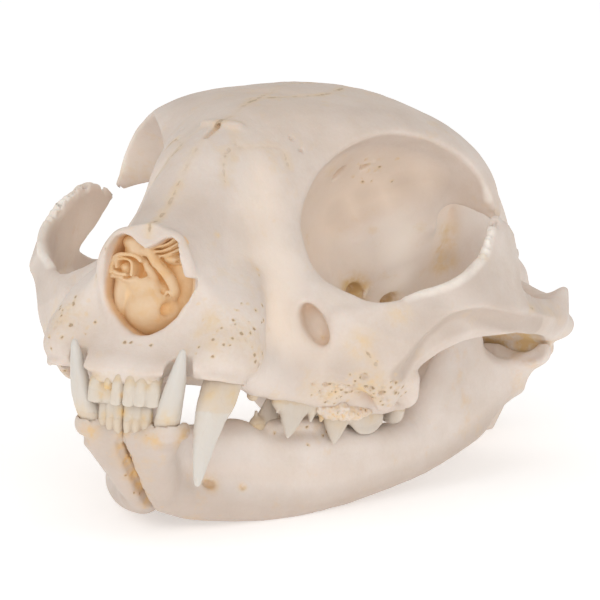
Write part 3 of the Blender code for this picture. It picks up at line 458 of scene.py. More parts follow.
def palate(b):
    """The roof of the mouth and the wings of bone behind it."""
    # wing of bone beside the inner nostrils
    b.plate([(34, 1), (40, 1.0), (46, 2.2), (52, 2.2), (57.5, 0.2), (59.5, 0.6), (58, 3.5), (57.5, 8),
             (54, 12), (46, 14), (38, 13), (34, 8)],
            lambda y, z: (graded([(34, 7.5), (40, 6.2), (46, 5.6), (60, 5.2)], np.clip(y, 34, 60))
                          + 0.06 * (z - 5)),
            lambda y, z: 1.3 - 0.03 * np.clip(y - 34, 0, 22) + 0 * z, soft=1.2)
    # flat roof of the mouth
    b.hull(wide=[(20, 12), (30, 14.5), (38, 14), (42.5, 8)], top=[(20, 4.2), (42.5, 4.2)],
           bottom=[(20, 1.6), (42.5, 2.2)], waist=[(20, 3), (42.5, 3.2)], upper=6, lower=6, soft=1.0)


def skull_base(b):
    """Ear capsules, the processes beside the neck joint, condyles and crests."""
    # ear capsule
    b.ball((11.0, 73.5, 3.5), (6.6, 9.9, 8.6), turned("z", -14), soft=1.2)
    b.ball((15.5, 70, 8.8), (3.6, 4.8, 4.4), soft=2.0)
    # processes behind the ear and beside the neck joint
    b.bar([(17.0, 74, 16), (17.4, 78, 10), (16.0, 79.5, 5.5)], wide=[3, 2.8, 1.4], thick=[2.2, 2.0, 1.3],
          facing=(0, 1, 0), soft=3.0)
    b.bar([(12.8, 82, 9), (12.4, 82.2, 2), (12.0, 81.4, -2.4)], wide=[3.0, 2.4, 1.5],
          thick=[2.2, 1.7, 1.3], facing=(1, 0.2, 0), soft=2.0)
    # condyle of the neck joint
    b.ball((6.4, 87.4, 6.0), (3.5, 4.2, 4.9), turned("y", 25), soft=1.5)
    # crests across the back and along the top
    b.bar([(0, 88.4, 22.0), (5, 87.6, 22.0), (10, 84.8, 20.4), (14, 81, 16.8), (16.4, 78, 12)],
          wide=[2.0, 1.8, 1.7, 1.6, 1.5], thick=[1.0, 0.9, 0.8, 0.8, 0.8], facing=(0.25, 0.8, 0.5), soft=2.5)
    b.bar([(0, 74, 30.6), (0, 79, 28.9), (0, 84, 26.0), (0, 88.4, 22.4)], wide=[0.8, 1.2, 1.6, 2.0],
          thick=[0.7, 0.8, 0.9, 1.1], facing=(0, 0.4, 1), soft=2.5)


def openings(b):
    """Holes for the spinal cord, ears, inner nostrils, eye nerves and cheek nerve."""
    # spinal cord, with the floor of bone in front of it
    b.bar([(0, 96, 12.4), (0, 86, 12.6), (0, 76, 13.8)], wide=[6.6, 6.2, 5.0], thick=[5.4, 5.0, 4.4],
          facing=(1, 0, 0), soft=0.8, take=True)
    b.hull(wide=[(44, 5.6), (62, 6.2), (76, 7.4), (88.5, 6.0)], top=[(44, 9), (88.5, 7.8)],
           bottom=[(44, 6.4), (62, 5.0), (88.5, 5.2)], waist=[(44, 7.6), (88.5, 6.4)],
           upper=5, lower=5, soft=0.8)
    # ear
    b.bar([(24, 71.0, 9.2), (13, 72, 7.8)], wide=[2.3, 1.8], soft=0.5, take=True)
    # inner nostrils, behind the palate
    b.hull(wide=[(40, 4.2), (44, 4.6), (58, 4.6), (62, 3)], top=[(40, 8.6), (52, 5.6), (62, 4.6)],
           bottom=[(40, -3), (62, -3)], waist=[(40, 3), (62, 3)], upper=3, lower=8, soft=0.6, take=True)
    # cheek nerve, below the socket
    b.bar([(16.4, 14.6, 7.9), (15.6, 19.6, 8.7), (13.9, 25.6, 9.4)], wide=[2.9, 2.8, 2.3],
          thick=[1.5, 1.3, 1.5], facing=(-0.486, -0.227, 0.843), soft=0.9, take=True)
    # eye nerves, deep in the socket
    b.ball((8.2, 51.5, 9.6), (2.4, 1.8, 1.6), turned("z", 35), soft=0.5, take=True)
    # nose opening
    nostril = [(-2, 15.9), (0, 15.9), (1.2, 16.5), (2.2, 17.2), (3.3, 17.5), (4.2, 17.0), (4.8, 15.6),
               (5.15, 13.6), (5.4, 11.8), (5.2, 9.9), (4.3, 8.2), (2.8, 6.7), (1.2, 5.7), (0, 5.5),
               (-2, 5.5)]
    b.tunnel(nostril, -5, 12.4, soft=0.4, take=True)


def solid_share(field, cells):
    """Share of solid cells in a cube of this half width round every grid point."""
    total = (field < 0).astype(np.float32)
    for axis in range(3):
        pad = [(0, 0)] * 3
        pad[axis] = (cells + 1, cells)
        padded = np.pad(total, pad, mode="reflect" if axis == 0 else "edge")
        running = np.cumsum(padded, axis, dtype=np.float32)
        count = total.shape[axis]
        ahead = np.take(running, range(2 * cells + 1, 2 * cells + 1 + count), axis)
        behind = np.take(running, range(0, count), axis)
        total = (ahead - behind) / (2 * cells + 1)
    return total


def read_off(array, points, low, step):
    """Values of a grid array at points, blended between the grid points."""
    q = np.clip((points - low) / step, 0, np.array(array.shape) - 1.001)
    base = q.astype(np.int64)
    f = (q - base).astype(np.float32)
    out = np.zeros(len(points), np.float32)
    for corner in range(8):
        i, j, k = corner & 1, corner >> 1 & 1, corner >> 2
        share = ((f[:, 0] if i else 1 - f[:, 0]) * (f[:, 1] if j else 1 - f[:, 1])
                 * (f[:, 2] if k else 1 - f[:, 2]))
        out += share * array[base[:, 0] + i, base[:, 1] + j, base[:, 2] + k]
    return out


BAND = 3.0                                   # mm from the surface up to which distances count


def skin(field, low, step, all_parts=False):
    """Points and four-sided faces of the surface: its largest connected part, or all."""
    grid = openvdb.FloatGrid(background=BAND)
    grid.copyFromArray(np.ascontiguousarray(np.clip(field, -BAND, BAND).astype(np.float32)))
    grid.transform = openvdb.createLinearTransform(voxelSize=step)
    points, _, faces = grid.convertToPolygons(isovalue=0.0, adaptivity=0.0)
    points, faces = points.astype(np.float64) + low, faces.astype(np.int64)
    if all_parts:
        return points, faces
    label = np.arange(len(points))
    while True:
        least = label[faces].min(1)
        before = label.copy()
        for corner in range(4):
            np.minimum.at(label, faces[:, corner], least)
        label = label[label]
        if (label == before).all():
            break
    names, count = np.unique(label, return_counts=True)
    keep = label == names[count.argmax()]
    number = np.cumsum(keep) - 1
    return points[keep], number[faces[keep[faces[:, 0]]]]


def outward(points, faces):
    """Direction away from the bone at every point."""
    cross = np.cross(points[faces[:, 2]] - points[faces[:, 0]], points[faces[:, 3]] - points[faces[:, 1]])
    total = np.stack([np.bincount(faces.ravel(), np.repeat(cross[:, i], 4), len(points))
                      for i in range(3)], 1)
    return total / np.maximum(np.linalg.norm(total, axis=1, keepdims=True), 1e-12)


CELL_PRIMES = (73856093, 19349663, 83492791)
SEED_PRIME, STIR_PRIMES = 2654435761, ((15, 2246822519), (13, 3266489917))


def chance(cells, seed):
    """A fixed number from 0 to 1 for every whole-number cell."""
    h = seed * SEED_PRIME
    for axis, prime in enumerate(CELL_PRIMES):
        h = cells[..., axis] * prime ^ h
    for shift, prime in STIR_PRIMES:
        h = (h ^ h >> shift) * prime & 0xffffffff
    return ((h ^ h >> 16) & 0xffffff) / 0xffffff


def lumps(points, size, seed=0):
    """Smooth lumps of this size, from -1 to 1."""
    q = points / size
    base = np.floor(q).astype(np.int64)
    f = q - base
    f = f * f * (3 - 2 * f)
    out = np.zeros(len(points))
    for corner in range(8):
        step = np.array([corner & 1, corner >> 1 & 1, corner >> 2])
        share = np.prod(np.where(step, f, 1 - f), 1)
        out += share * chance(base + step, seed)
    return 2 * out - 1


def pits(points, spacing, seed=0, share=0.6, widest=0.42):
    """Depth from 0 to 1 of round pits strewn at this spacing."""
    q = points / spacing
    base = np.floor(q).astype(np.int64)
    depth = np.zeros(len(points))
    for corner in range(27):
        cell = base + np.array([corner % 3, corner // 3 % 3, corner // 9]) - 1
        middle = cell + 0.5 + 0.7 * (np.stack([chance(cell, seed + i) for i in range(3)], 1) - 0.5)
        radius = widest * (0.45 + 0.55 * chance(cell, seed + 3))
        away = np.linalg.norm(q - middle, axis=1) / radius
        here = np.clip(1 - away ** 2, 0, 1) * (chance(cell, seed + 4) < share)
        depth = np.maximum(depth, here)
    return depth


def near_spots(points, spots):
    """Strength from 0 up, high near any of the spots (x, y, z, radius, strength)."""
    out = np.zeros(len(points))
    for x, y, z, radius, strength in spots:
        away = ((points - (x, y, z)) ** 2).sum(1) / radius ** 2
        out = np.maximum(out, strength * np.exp(-away * 1.5))
    return out


FAR_OFF = 3.0                                # mm, stands for no seam or ridge near by


def off_lines(points, lines):
    """Distance in mm from the nearest of the lines, at most FAR_OFF."""
    out = np.full(len(points), FAR_OFF)
    for line in lines:
        path = smooth_path(line, 6)
        inside = np.ones(len(points), bool)
        for i in range(3):
            inside &= points[:, i] > path[:, i].min() - FAR_OFF
            inside &= points[:, i] < path[:, i].max() + FAR_OFF
        some = points[inside]
        best = np.full(len(some), FAR_OFF)
        for a, b in zip(path[:-1], path[1:]):
            edge = b - a
            t = np.clip((some - a) @ edge / max(edge @ edge, 1e-9), 0, 1)
            best = np.minimum(best, np.linalg.norm(some - a - t[:, None] * edge, axis=1))
        out[inside] = np.minimum(out[inside], best)
    return out


INSIDE_BOX, ON_FLOOR = 2e-6, 3e-5            # m: kept off the box's sides; laid on the floor


def cast(name, points, faces, marks, material, slot):
    """Tilt the points into the resting pose, keep them in the CAD box, make the mesh."""
    a = math.radians(NOSE_UP)
    y = points[:, 1] * math.cos(a) + points[:, 2] * math.sin(a) - FOOTPRINT_MIDDLE
    z = points[:, 2] * math.cos(a) - points[:, 1] * math.sin(a) - FLOOR
    placed = np.stack([points[:, 0], y, z], 1) * 0.001
    placed = np.clip(placed, np.array(cad_low) + INSIDE_BOX, np.array(cad_high) - INSIDE_BOX)
    placed[placed[:, 2] < ON_FLOOR, 2] = cad_low[2] + INSIDE_BOX
    mesh = bpy.data.meshes.new(name)
    mesh.vertices.add(len(placed))
    mesh.vertices.foreach_set("co", placed.astype(np.float32).ravel())
    mesh.loops.add(faces.size)
    mesh.loops.foreach_set("vertex_index", faces.astype(np.int32).ravel())
    mesh.polygons.add(len(faces))
    mesh.polygons.foreach_set("loop_start", np.arange(0, faces.size, 4, dtype=np.int32))
    mesh.update()
    mesh.validate()
    mesh.polygons.foreach_set("use_smooth", np.ones(len(faces), bool))
    for mark, values in marks.items():
        layer = mesh.attributes.new(mark, "FLOAT", "POINT")
        layer.data.foreach_set("value", values.astype(np.float32))
    mesh.materials.append(material)
    piece = bpy.data.objects.new(name, mesh)
    bpy.context.scene.collection.objects.link(piece)
    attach(piece, "root")
    return piece


def canine_root(b):
    """Upper canine, crown and root, as the bone makes room for it."""
    b.bar([(8.8, 12.0, 9.5), (10.0, 8.8, 4.6), (10.2, 6.2, -0.4), (10.0, 4.9, -3.1), (9.4, 4.9, -6.8),
           (8.95, 5.3, -9.6), (8.6, 5.75, -11.2)], wide=[1.2, 2.3, 2.35, 2.0, 1.4, 0.85, 0.42],
          thick=[1.0, 2.0, 2.05, 1.75, 1.2, 0.75, 0.4], facing=ALONG_ROW)


def lower_canine_root(b):
    """Lower canine, crown and root."""
    b.bar([(2.2, 9.2, -10.8), (3.5, 6.0, -8.4), (5.0, 3.5, -4.6), (5.9, 2.4, -2.1), (6.6, 2.0, 1.0),
           (7.05, 1.7, 3.2), (7.2, 1.65, 4.1)], wide=[0.7, 1.2, 1.6, 1.5, 1.15, 0.65, 0.38],
          thick=[0.6, 1.0, 1.4, 1.3, 1.0, 0.6, 0.36], facing=ALONG_ROW)


CREST = [(24.2, 26.4, 12.6), (25.4, 27.4, 13.4), (26.8, 28.8, 14.1), (28.1, 30.2, 14.9), (29.0, 31.7, 15.9),
         (29.6, 33.2, 17.1), (29.9, 35.1, 18.7), (29.7, 36.8, 20.5), (29.1, 38.5, 22.1)]


def small_openings(b):
    """Nerve and vessel holes in the wall of the eye socket, and the gum-line hollows."""
    # in the roof and the wall of the socket
    b.ball((9.3, 36.2, 27.3), (1.3, 0.55, 1.05), soft=0.3, take=True)
    b.ball((11.1, 39.2, 28.4), (0.8, 0.5, 0.5), soft=0.2, take=True)
    b.ball((8.4, 44.2, 13.2), (1.5, 1.0, 1.15), soft=0.3, take=True)
    b.bar([(10.2, 44.6, 12.4), (10.1, 45.2, 13.4), (9.4, 45.6, 14.4)], wide=0.3, soft=0.5)
    # floor of the cheek nerve's opening
    b.ball((14.4, 22.5, 8.3), (2.6, 2.0, 4.0), soft=1.0)
    b.ball((10.9, 49.7, 12.4), (1.8, 1.3, 1.0), soft=0.8, take=True)
    # vessel holes in the forehead, the arch and the snout
    b.ball((7.5, 25.4, 30.9), (0.3, 0.35, 0.35), take=True)
    b.ball((8.8, 25.5, 29.5), (0.3, 0.35, 0.35), take=True)
    b.ball((33.1, 53.7, 12.2), (0.5, 0.42, 0.36), take=True)
    b.ball((31.0, 58.3, 9.4), (0.5, 0.4, 0.5), take=True)
    b.ball((14.0, 9.1, 3.4), (0.7, 0.5, 0.42), take=True)


def gum_line(b):
    """Pitted bone where the premolars stand, and the sockets' raised edges."""
    for x, y, z, r in ((21.0, 23.3, 2.9, 0.46), (18.9, 23.6, 1.3, 0.42), (17.8, 22.8, 1.1, 0.4),
                       (22.2, 25.9, 1.2, 0.42), (22.9, 27.0, 2.2, 0.34), (20.2, 22.9, 1.9, 0.36),
                       (21.4, 24.6, 1.6, 0.36), (19.8, 23.9, 0.8, 0.34), (20.8, 24.6, 0.3, 0.36),
                       (18.4, 22.6, 2.2, 0.3), (16.9, 21.2, 1.6, 0.36), (15.9, 19.9, 1.5, 0.3)):
        b.ball((x, y, z), (r, r, r * 0.9), soft=0.15, take=True)
    # raised edges of the canine's and the front teeth's sockets
    b.bar([(8.3, 3.5, 1.3), (10.0, 3.3, 1.4), (11.7, 4.4, 1.4), (12.4, 6.6, 1.2), (12.0, 9.0, 0.9)],
          wide=[0.3, 0.36, 0.38, 0.36, 0.3], soft=1.0)
    b.bar([(0, 1.0, 0.1), (2.0, 1.1, 0.1), (4.2, 1.7, 0.1), (5.6, 2.8, 0.3)], wide=0.5, soft=0.9)
    # edges behind the pitted bone and behind the canine
    b.bar([(24.3, 30.0, 3.0), (23.6, 31.2, 1.7), (22.7, 32.6, 0.8), (21.2, 34.4, 0.2)],
          wide=[0.9, 1.1, 1.2, 1.0], soft=1.4)
    b.bar([(10.6, 12.8, 1.8), (10.8, 14.1, 0.5), (11.6, 15.6, 1.0)], wide=[0.6, 0.9, 0.6], soft=0.8)


def ridges(b):
    """The scar of the chewing muscle under the arch, the socket's crest, the nose root."""
    # scar, crest, bone behind the jaw joint's notch, then the nose root
    b.bar([(25.8, 27.0, 3.8), (28.0, 29.0, 7.2), (29.8, 30.9, 9.4), (31.7, 34.0, 10.4), (33.3, 37.7, 10.2),
           (34.3, 42.5, 10.0), (34.5, 48.0, 9.8)],
          wide=[1.6, 2.2, 2.3, 2.2, 2.0, 1.8, 1.4], soft=0.35, take=True)
    b.bar(CREST, wide=0.44, soft=0.5)
    b.bar([(17.0, 61.4, 8.2), (23.0, 61.4, 8.4), (28.6, 60.6, 9.2)], wide=[2.6, 2.3, 1.6],
          thick=[0.8, 0.8, 0.7], facing=(0, 0.1, 1), soft=0.8)
    b.ball((1.3, 21.2, 31.8), (1.5, 1.1, 0.55), soft=0.9)
    b.bar([(0.0, 20.6, 31.5), (0.0, 19.0, 30.7), (0.0, 17.2, 29.7)], wide=[0.3, 0.4, 0.25], soft=0.4,
          take=True)


RIM = [(30.0, 34.6, 18.2), (29.7, 37.0, 20.7), (28.6, 39.2, 22.6), (27.8, 41.7, 23.8), (27.4, 44.4, 23.5),
       (27.8, 47.0, 22.6)]


def frayed_rims(b):
    """Small teeth along the upper rim of the cheek process, where thin bone has crumbled."""
    for i, (x, y, z) in enumerate(smooth_path(RIM, 3)):
        b.ball((x, y, z + 0.55), (1.3, 0.3 + 0.1 * (i % 3), 0.45 + 0.18 * (i * 5 % 3)), soft=0.2, take=True)


def broken_nostril(b):
    """The step broken out of the left edge of the nose opening."""
    b.tunnel([(4.0, 12.95), (6.6, 12.85), (6.5, 11.7), (5.7, 10.0), (4.2, 8.6)], 0.0, 6.2, soft=0.25,
             take=True)


# Seams where two bones meet, as lines on the surface: the middle one, those that each side
# has, and the wandering one across the crown.
MIDLINE_SEAM = [(0, 5.1, 16.2), (0, 6.5, 18.6), (0, 9.6, 20.6), (0, 11, 23.9), (0, 13, 26.8),
                (0, 15.8, 28.8), (0, 18.6, 30.3), (0, 23.1, 31.8), (0, 28.3, 35.3), (0, 36, 37.2),
                (0, 44, 38.1)]
SIDE_SEAMS = [
    [(5.4, 4.4, 16.8), (5.6, 8.0, 19.6), (5.3, 12.0, 23.8), (4.4, 16.6, 27.8), (2.4, 20.0, 30.6),
     (0.2, 21.2, 31.8)],
    [(6.6, 4.6, 12.2), (7.4, 4.0, 9.4), (6.7, 3.2, 6.0), (6.2, 2.4, 2.0), (6.0, 1.8, 0.2)],
    [(33.3, 43.4, 13.0), (33.3, 47.5, 13.3), (33.2, 51.5, 12.6), (33.0, 55.0, 11.5)],
    [(4.7, 13.9, 24.4), (3.7, 15.1, 26.7), (3.2, 17.1, 28.6), (5.1, 20.4, 29.3), (7.2, 23.0, 29.5),
     (8.6, 22.8, 27.5)],
    [(16.6, 20.8, 11.6), (19.6, 21.6, 8.8), (21.6, 22.6, 5.6), (23.6, 25.0, 2.4)],
    [(0, 53, 38.0), (5, 52.5, 37.4), (9, 54, 35.2), (13, 55.5, 31.6), (17, 56, 26), (18, 57, 20)],
    [(0, 84, 26.0), (5, 82.6, 26.4), (10, 80.4, 24.6), (14, 77.8, 20.4), (17, 74, 15)]]
CROWN_SEAM = [(-0.9, 30.2, 35.4), (2.6, 32.6, 36.1), (5.6, 35.8, 36.7), (5.8, 40.0, 37.6), (3.7, 49.3, 38.5)]
SEAMS = [MIDLINE_SEAM, CROWN_SEAM, *SIDE_SEAMS, *([(-x, y, z) for x, y, z in line] for line in SIDE_SEAMS)]

# Marks on the bone as spots (x, y, z, radius, strength): stained, porous, painted fill light, painted
# shade (in places darker tan bone), crumbled; and the lines of the muscle's scar, with painted shadow under
# its ridge, and of the brow, which with the crest gets a painted highlight.
YELLOW = [(0.8, 20.8, 31.7, 1.0, 1.0), (1.6, 21.6, 32.0, 1.3, 0.6), (-0.2, 19.6, 31.0, 1.0, 0.6),
          (10.0, 4.6, 9.3, 1.9, 0.75), (9.0, 4.8, 8.0, 2.2, 0.6), (12.6, 6.4, 7.0, 2.6, 0.5),
          (13.2, 8.0, 4.6, 2.2, 0.5), (10.2, 4.6, 5.6, 2.5, 0.5), (7.6, 4.6, 6.4, 1.2, 0.4),
          (20.7, 21.8, 6.7, 2.2, 0.7), (24.2, 24.9, 10.7, 1.9, 0.6), (16.4, 20.0, 1.0, 1.6, 0.5),
          (21.0, 24.4, 1.6, 2.8, 1.0), (17.4, 22.6, 0.8, 2.0, 1.0), (13.4, 21.0, 0.4, 2.0, 0.5),
          (5.9, 10.7, 18.3, 0.5, 0.9), (9.8, 14.6, 14.6, 0.5, 0.9), (7.2, 6.0, 15.4, 0.5, 0.6),
          (8.4, 44.2, 13.2, 2.4, 2.6), (10.7, 49.9, 12.3, 2.2, 1.4), (16.2, 54.6, 17.4, 2.0, 1.0),
          (16.7, 53.4, 19.4, 1.8, 1.2), (17.2, 52.6, 21.4, 1.6, 0.9), (28.5, 45.0, 13.0, 3.0, 0.3),
          (11.0, 24.0, 22.0, 0.9, 0.4), (1.4, 1.0, 0.2, 1.0, 0.5), (3.6, 1.4, 0.2, 0.9, 0.5),
          (-1.4, 1.0, 0.2, 0.9, 0.6), (-3.6, 1.4, 0.0, 1.4, 0.9), (-10.0, 4.6, 7.0, 3.0, 0.5),
          (10.0, 3.0, -0.4, 1.6, 0.45), (33.2, 49.0, 13.2, 1.2, 0.4), (26.0, 60.4, 9.0, 3.6, 1.5),
          (21.5, 60.9, 8.2, 3.8, 1.8), (0, 88, 12, 6, 0.3)]
POROUS = [(10.6, 5.0, 6.8, 3.6, 1.0), (12.8, 7.2, 6.2, 3.2, 0.9), (12.6, 9.2, 9.6, 2.4, 0.7),
          (13.8, 8.6, 3.8, 2.4, 0.8), (-10.6, 5.0, 6.8, 3.6, 1.0), (-12.8, 7.2, 6.2, 3.2, 0.9),
          (20.4, 23.8, 1.0, 2.9, 3.0), (22.9, 26.9, 1.1, 2.4, 2.8), (17.4, 22.2, 0.4, 2.3, 2.4),
          (-20.0, 23.4, 2.0, 3.2, 1.2), (-22.8, 26.4, 1.8, 2.6, 1.2), (-16.6, 21.2, 1.2, 2.6, 1.0),
          (11.8, 40.5, 28.6, 3.2, 0.8), (-11.8, 40.5, 28.6, 3.2, 0.8), (8.6, 12.6, 14.0, 2.4, 0.3),
          (16.2, 21.6, 6.4, 1.4, 1.0), (0, 60, 6, 6, 0.4), (0, 3.0, 4.0, 3.0, 0.25)]
SCAR = [(24.4, 26.4, 3.4), (25.7, 27.6, 6.2), (27.0, 28.7, 8.2), (28.1, 30.0, 9.9), (29.6, 32.0, 10.8),
        (31.4, 36.2, 11.2), (32.4, 41.0, 11.0), (32.6, 47.0, 10.8)]
BROW = [(14.4, 30.6, 34.4), (18.6, 33.6, 34.0), (22.0, 38.0, 32.0), (24.4, 42.4, 29.2), (25.2, 45.6, 25.8)]
# painted fill light: lighter bone on the far cheek plate, the socket's inner wall and round the jaw joint,
# standing in for light through thin bone and into hollows
FILL_LIGHT_SPOTS = [(-30.2, 35.5, 12.0, 6.0, 0.8), (-29.6, 38.0, 16.0, 7.0, 0.9), (-29.4, 43.0, 17.5, 7.0, 0.9),
         (-27.0, 31.0, 13.0, 5.0, 0.5), (-24.0, 44.0, 27.0, 5.0, 0.6), (13.9, 45.8, 19.6, 5.2, 0.9),
         (10.0, 42.4, 18.0, 4.6, 0.5), (13.4, 48.6, 14.4, 4.4, 1.0), (23.0, 61.5, 8.4, 4.0, 0.6),
         (27.5, 61.0, 9.0, 3.0, 0.5)]
# painted shade, in places a darker tan of the bone: the socket's roof, the cheek nerve's opening, under the
# arch's ridge, the cheek plate, the tops of crown and snout, and the underside
SHADE_AND_TAN_SPOTS = [(14.2, 20.8, 8.2, 3.4, 0.55), (28.6, 31.6, 10.0, 3.6, 0.45), (31.0, 37.0, 11.0, 3.6, 0.4),
        (20.6, 24.0, 2.4, 4.0, 0.35), (29.8, 34.0, 15.6, 5.6, 0.5), (30.4, 36.6, 12.6, 4.6, 0.45),
        (26.4, 28.0, 10.6, 5.2, 0.45), (22.4, 25.0, 7.4, 4.0, 0.3), (15.0, 17.6, 3.0, 4.0, 0.35),
        (19.0, 21.6, 3.4, 3.6, 0.4), (7.2, 14.3, 18.6, 4.4, 0.3), (9.2, 14.3, 14.6, 4.0, 0.2),
        (14.4, 43.6, 26.6, 3.4, 0.4), (11.0, 41.6, 24.4, 3.2, 0.4), (8.4, 39.6, 22.4, 3.0, 0.35),
        (16.6, 54.4, 18.0, 1.8, 0.4), (10.0, 36.0, 28.0, 5.0, 0.35), (14.0, 41.0, 28.4, 5.0, 0.3),
        (0, 36, 40, 22, 0.42), (3.0, 10, 20.5, 6.5, 0.4), (33, 46, 11, 6.5, 0.3), (33, 54, 12, 6.0, 0.3),
        (0, 60, 0, 14, 0.25)]
FRAYED = [(28.6, 40.6, 23.2, 2.6, 1.0), (28.4, 45.6, 22.8, 2.6, 1.0), (28.8, 49.4, 21.6, 2.2, 0.9),
          (28.9, 36.6, 20.4, 2.2, 0.7), (-28.6, 40.6, 23.2, 2.6, 1.3), (-28.4, 45.6, 22.8, 2.6, 1.3),
          (-28.8, 49.4, 21.6, 2.2, 1.2), (-28.9, 36.6, 20.4, 2.2, 0.7), (26.0, 46.2, 23.6, 1.6, 0.5),
          (-26.0, 46.2, 23.6, 1.6, 0.6)]


def nose_lining(points):
    """1 on the walls inside the nose, fading out at its rim."""
    x, y, z = np.abs(points[:, 0]), points[:, 1], points[:, 2]
    wall = graded([(5.2, 1.6), (6.7, 3.2), (8.2, 4.7), (9.9, 5.55), (11.8, 5.75), (13.6, 5.5), (15.6, 5.15),
                   (17.0, 4.6), (17.8, 3.9)], z)
    inside = (x < wall) & (z > 5.0) & (z < 17.8) & (y < 13)
    return inside * np.clip((y - 4.45 - 0.1 * np.maximum(9 - z, 0)) / 0.8, 0, 1)


def bone_marks(points, near, wide, low, step):
    """Where the bone is hollow, seamed, stained, porous or lined, and where painted fill light, painted
    shade (in places darker tan bone) and a painted highlight go.
    """
    mirrored = np.column_stack([np.abs(points[:, 0]), points[:, 1:]])
    on_top = (points[:, 1] < 46) & (points[:, 2] > 15.8 + 0.3 * points[:, 1])
    off_midline = np.where(on_top, mirrored[:, 0], FAR_OFF)
    # painted shadow: a darker band along the muscle's scar, under the arch's ridge
    scar_shadow = np.clip(1.5 - off_lines(mirrored, [SCAR]) / 1.2, 0, 0.6)
    return {"hollow": read_off(near, mirrored, low, step) - 0.5,
            "deep": read_off(wide, mirrored, low, step) - 0.5,
            "seam": np.minimum(off_lines(points, SEAMS), off_midline),
            "stain": near_spots(points, YELLOW),
            "porous": near_spots(points, POROUS),
            "lining": nose_lining(points),
            # painted shade (partly darker tan bone), painted fill light, and a painted highlight along the
            # crest and brow
            "shade_and_tan": np.maximum(near_spots(mirrored, SHADE_AND_TAN_SPOTS), scar_shadow),
            "paler": near_spots(points, FILL_LIGHT_SPOTS),
            "crest_highlight": np.clip(1.1 - off_lines(mirrored, [CREST, BROW]) / 0.8, 0, 1)}


def weather(points, faces, marks):
    """Undulation, pits and frayed rims, as the cleaned bone has."""
    away = outward(points, faces)
    move = 0.05 * lumps(points, 2.6, 1) + 0.035 * lumps(points, 1.1, 2)
    move -= 0.09 * np.exp(-(marks["seam"] / 0.3) ** 2) * (0.6 + 0.4 * lumps(points, 1.4, 7))
    some = marks["porous"] > 0.12
    share = np.clip(marks["porous"][some], 0, 1.6)
    move[some] -= 0.2 * share * pits(points[some], 1.0, 5, 0.6)
    move[some] -= 0.15 * share * pits(points[some], 0.62, 9, 0.75)
    frayed = near_spots(points, FRAYED) * np.clip(-marks["hollow"] * 6 - 0.6, 0, 1)
    move -= 0.75 * np.clip(1.5 * frayed, 0, 1) * np.clip(3.0 * lumps(points, 1.05, 11) + 0.3, 0, 1)
    return points + away * move[:, None]


CREASE, HOLLOW = 1.2, 5.0                    # mm: how far round a point bone is looked for
ROOM_FOR_LOWER_FANG = 0.75                   # mm left free round the lower canines
FANG_GAP, EMPTY_SOCKET = 0.16, 0.25          # mm of room round the left canine, in the right socket

upper = Bone()
for make in (face, forehead, braincase, cheek, eye_sockets, zygomatic_arch, jaw_joint, palate,
             skull_base, openings, small_openings, gum_line, ridges, frayed_rims):
    make(upper)
fang, lower_fang = Bone(), Bone()
canine_root(fang)
lower_canine_root(lower_fang)
upper.keep_off(lower_fang, ROOM_FOR_LOWER_FANG)
right = upper.copy()
upper.keep_off(fang, FANG_GAP)
right.keep_off(fang, EMPTY_SOCKET)
broken_nostril(upper)
upper.rest_on_floor()
right.rest_on_floor()
near_share = solid_share(upper.field, round(CREASE / BONE_STEP))
wide_share = solid_share(upper.field, round(HOLLOW / BONE_STEP))
whole = np.concatenate([right.field[:0:-1], upper.field], 0)
whole_low = np.array([-HALF_HIGH[0], HALF_LOW[1], HALF_LOW[2]])
points, faces = skin(whole, whole_low, BONE_STEP)
marks = bone_marks(points, near_share, wide_share, upper.low, BONE_STEP)
points = weather(points, faces, marks)


def add(tree, kind, settings=(), **inputs):
    """Add one node; inputs are named sockets with _ for a space, or in0, in1 by place."""
    made = tree.nodes.new(kind)
    for key, value in dict(settings).items():
        setattr(made, key, value)
    for key, value in inputs.items():
        by_place = key.startswith("in") and key[2:].isdigit()
        socket = made.inputs[int(key[2:]) if by_place else key.replace("_", " ")]
        if isinstance(value, bpy.types.NodeSocket):
            tree.links.new(value, socket)
        else:
            socket.default_value = value
    return made


def sums(tree, operation, a, b=0.0):
    """One step of arithmetic on two values."""
    return add(tree, "ShaderNodeMath", {"operation": operation}, in0=a, in1=b).outputs[0]


def spread(tree, value, low, high, out_low=0.0, out_high=1.0):
    """Value from low..high brought to out_low..out_high, held at both ends."""
    return add(tree, "ShaderNodeMapRange", {"clamp": True}, Value=value, From_Min=low, From_Max=high,
               To_Min=out_low, To_Max=out_high).outputs[0]


def tint(tree, amount, under, over):
    """The under colour going over to the other by amount."""
    return add(tree, "ShaderNodeMix", {"data_type": "RGBA"}, in0=amount, in6=under, in7=over).outputs[2]


def start_group(name, inputs, outputs):
    """A node group with these named inputs (name, kind, value) and outputs (name, kind)."""
    tree = bpy.data.node_groups.new(name, "ShaderNodeTree")
    for label, kind, value in inputs:
        socket = tree.interface.new_socket(label, in_out="INPUT", socket_type="NodeSocket" + kind)
        if value is not None:
            socket.default_value = value
    for label, kind in outputs:
        tree.interface.new_socket(label, in_out="OUTPUT", socket_type="NodeSocket" + kind)
    return tree, tree.nodes.new("NodeGroupInput"), tree.nodes.new("NodeGroupOutput")


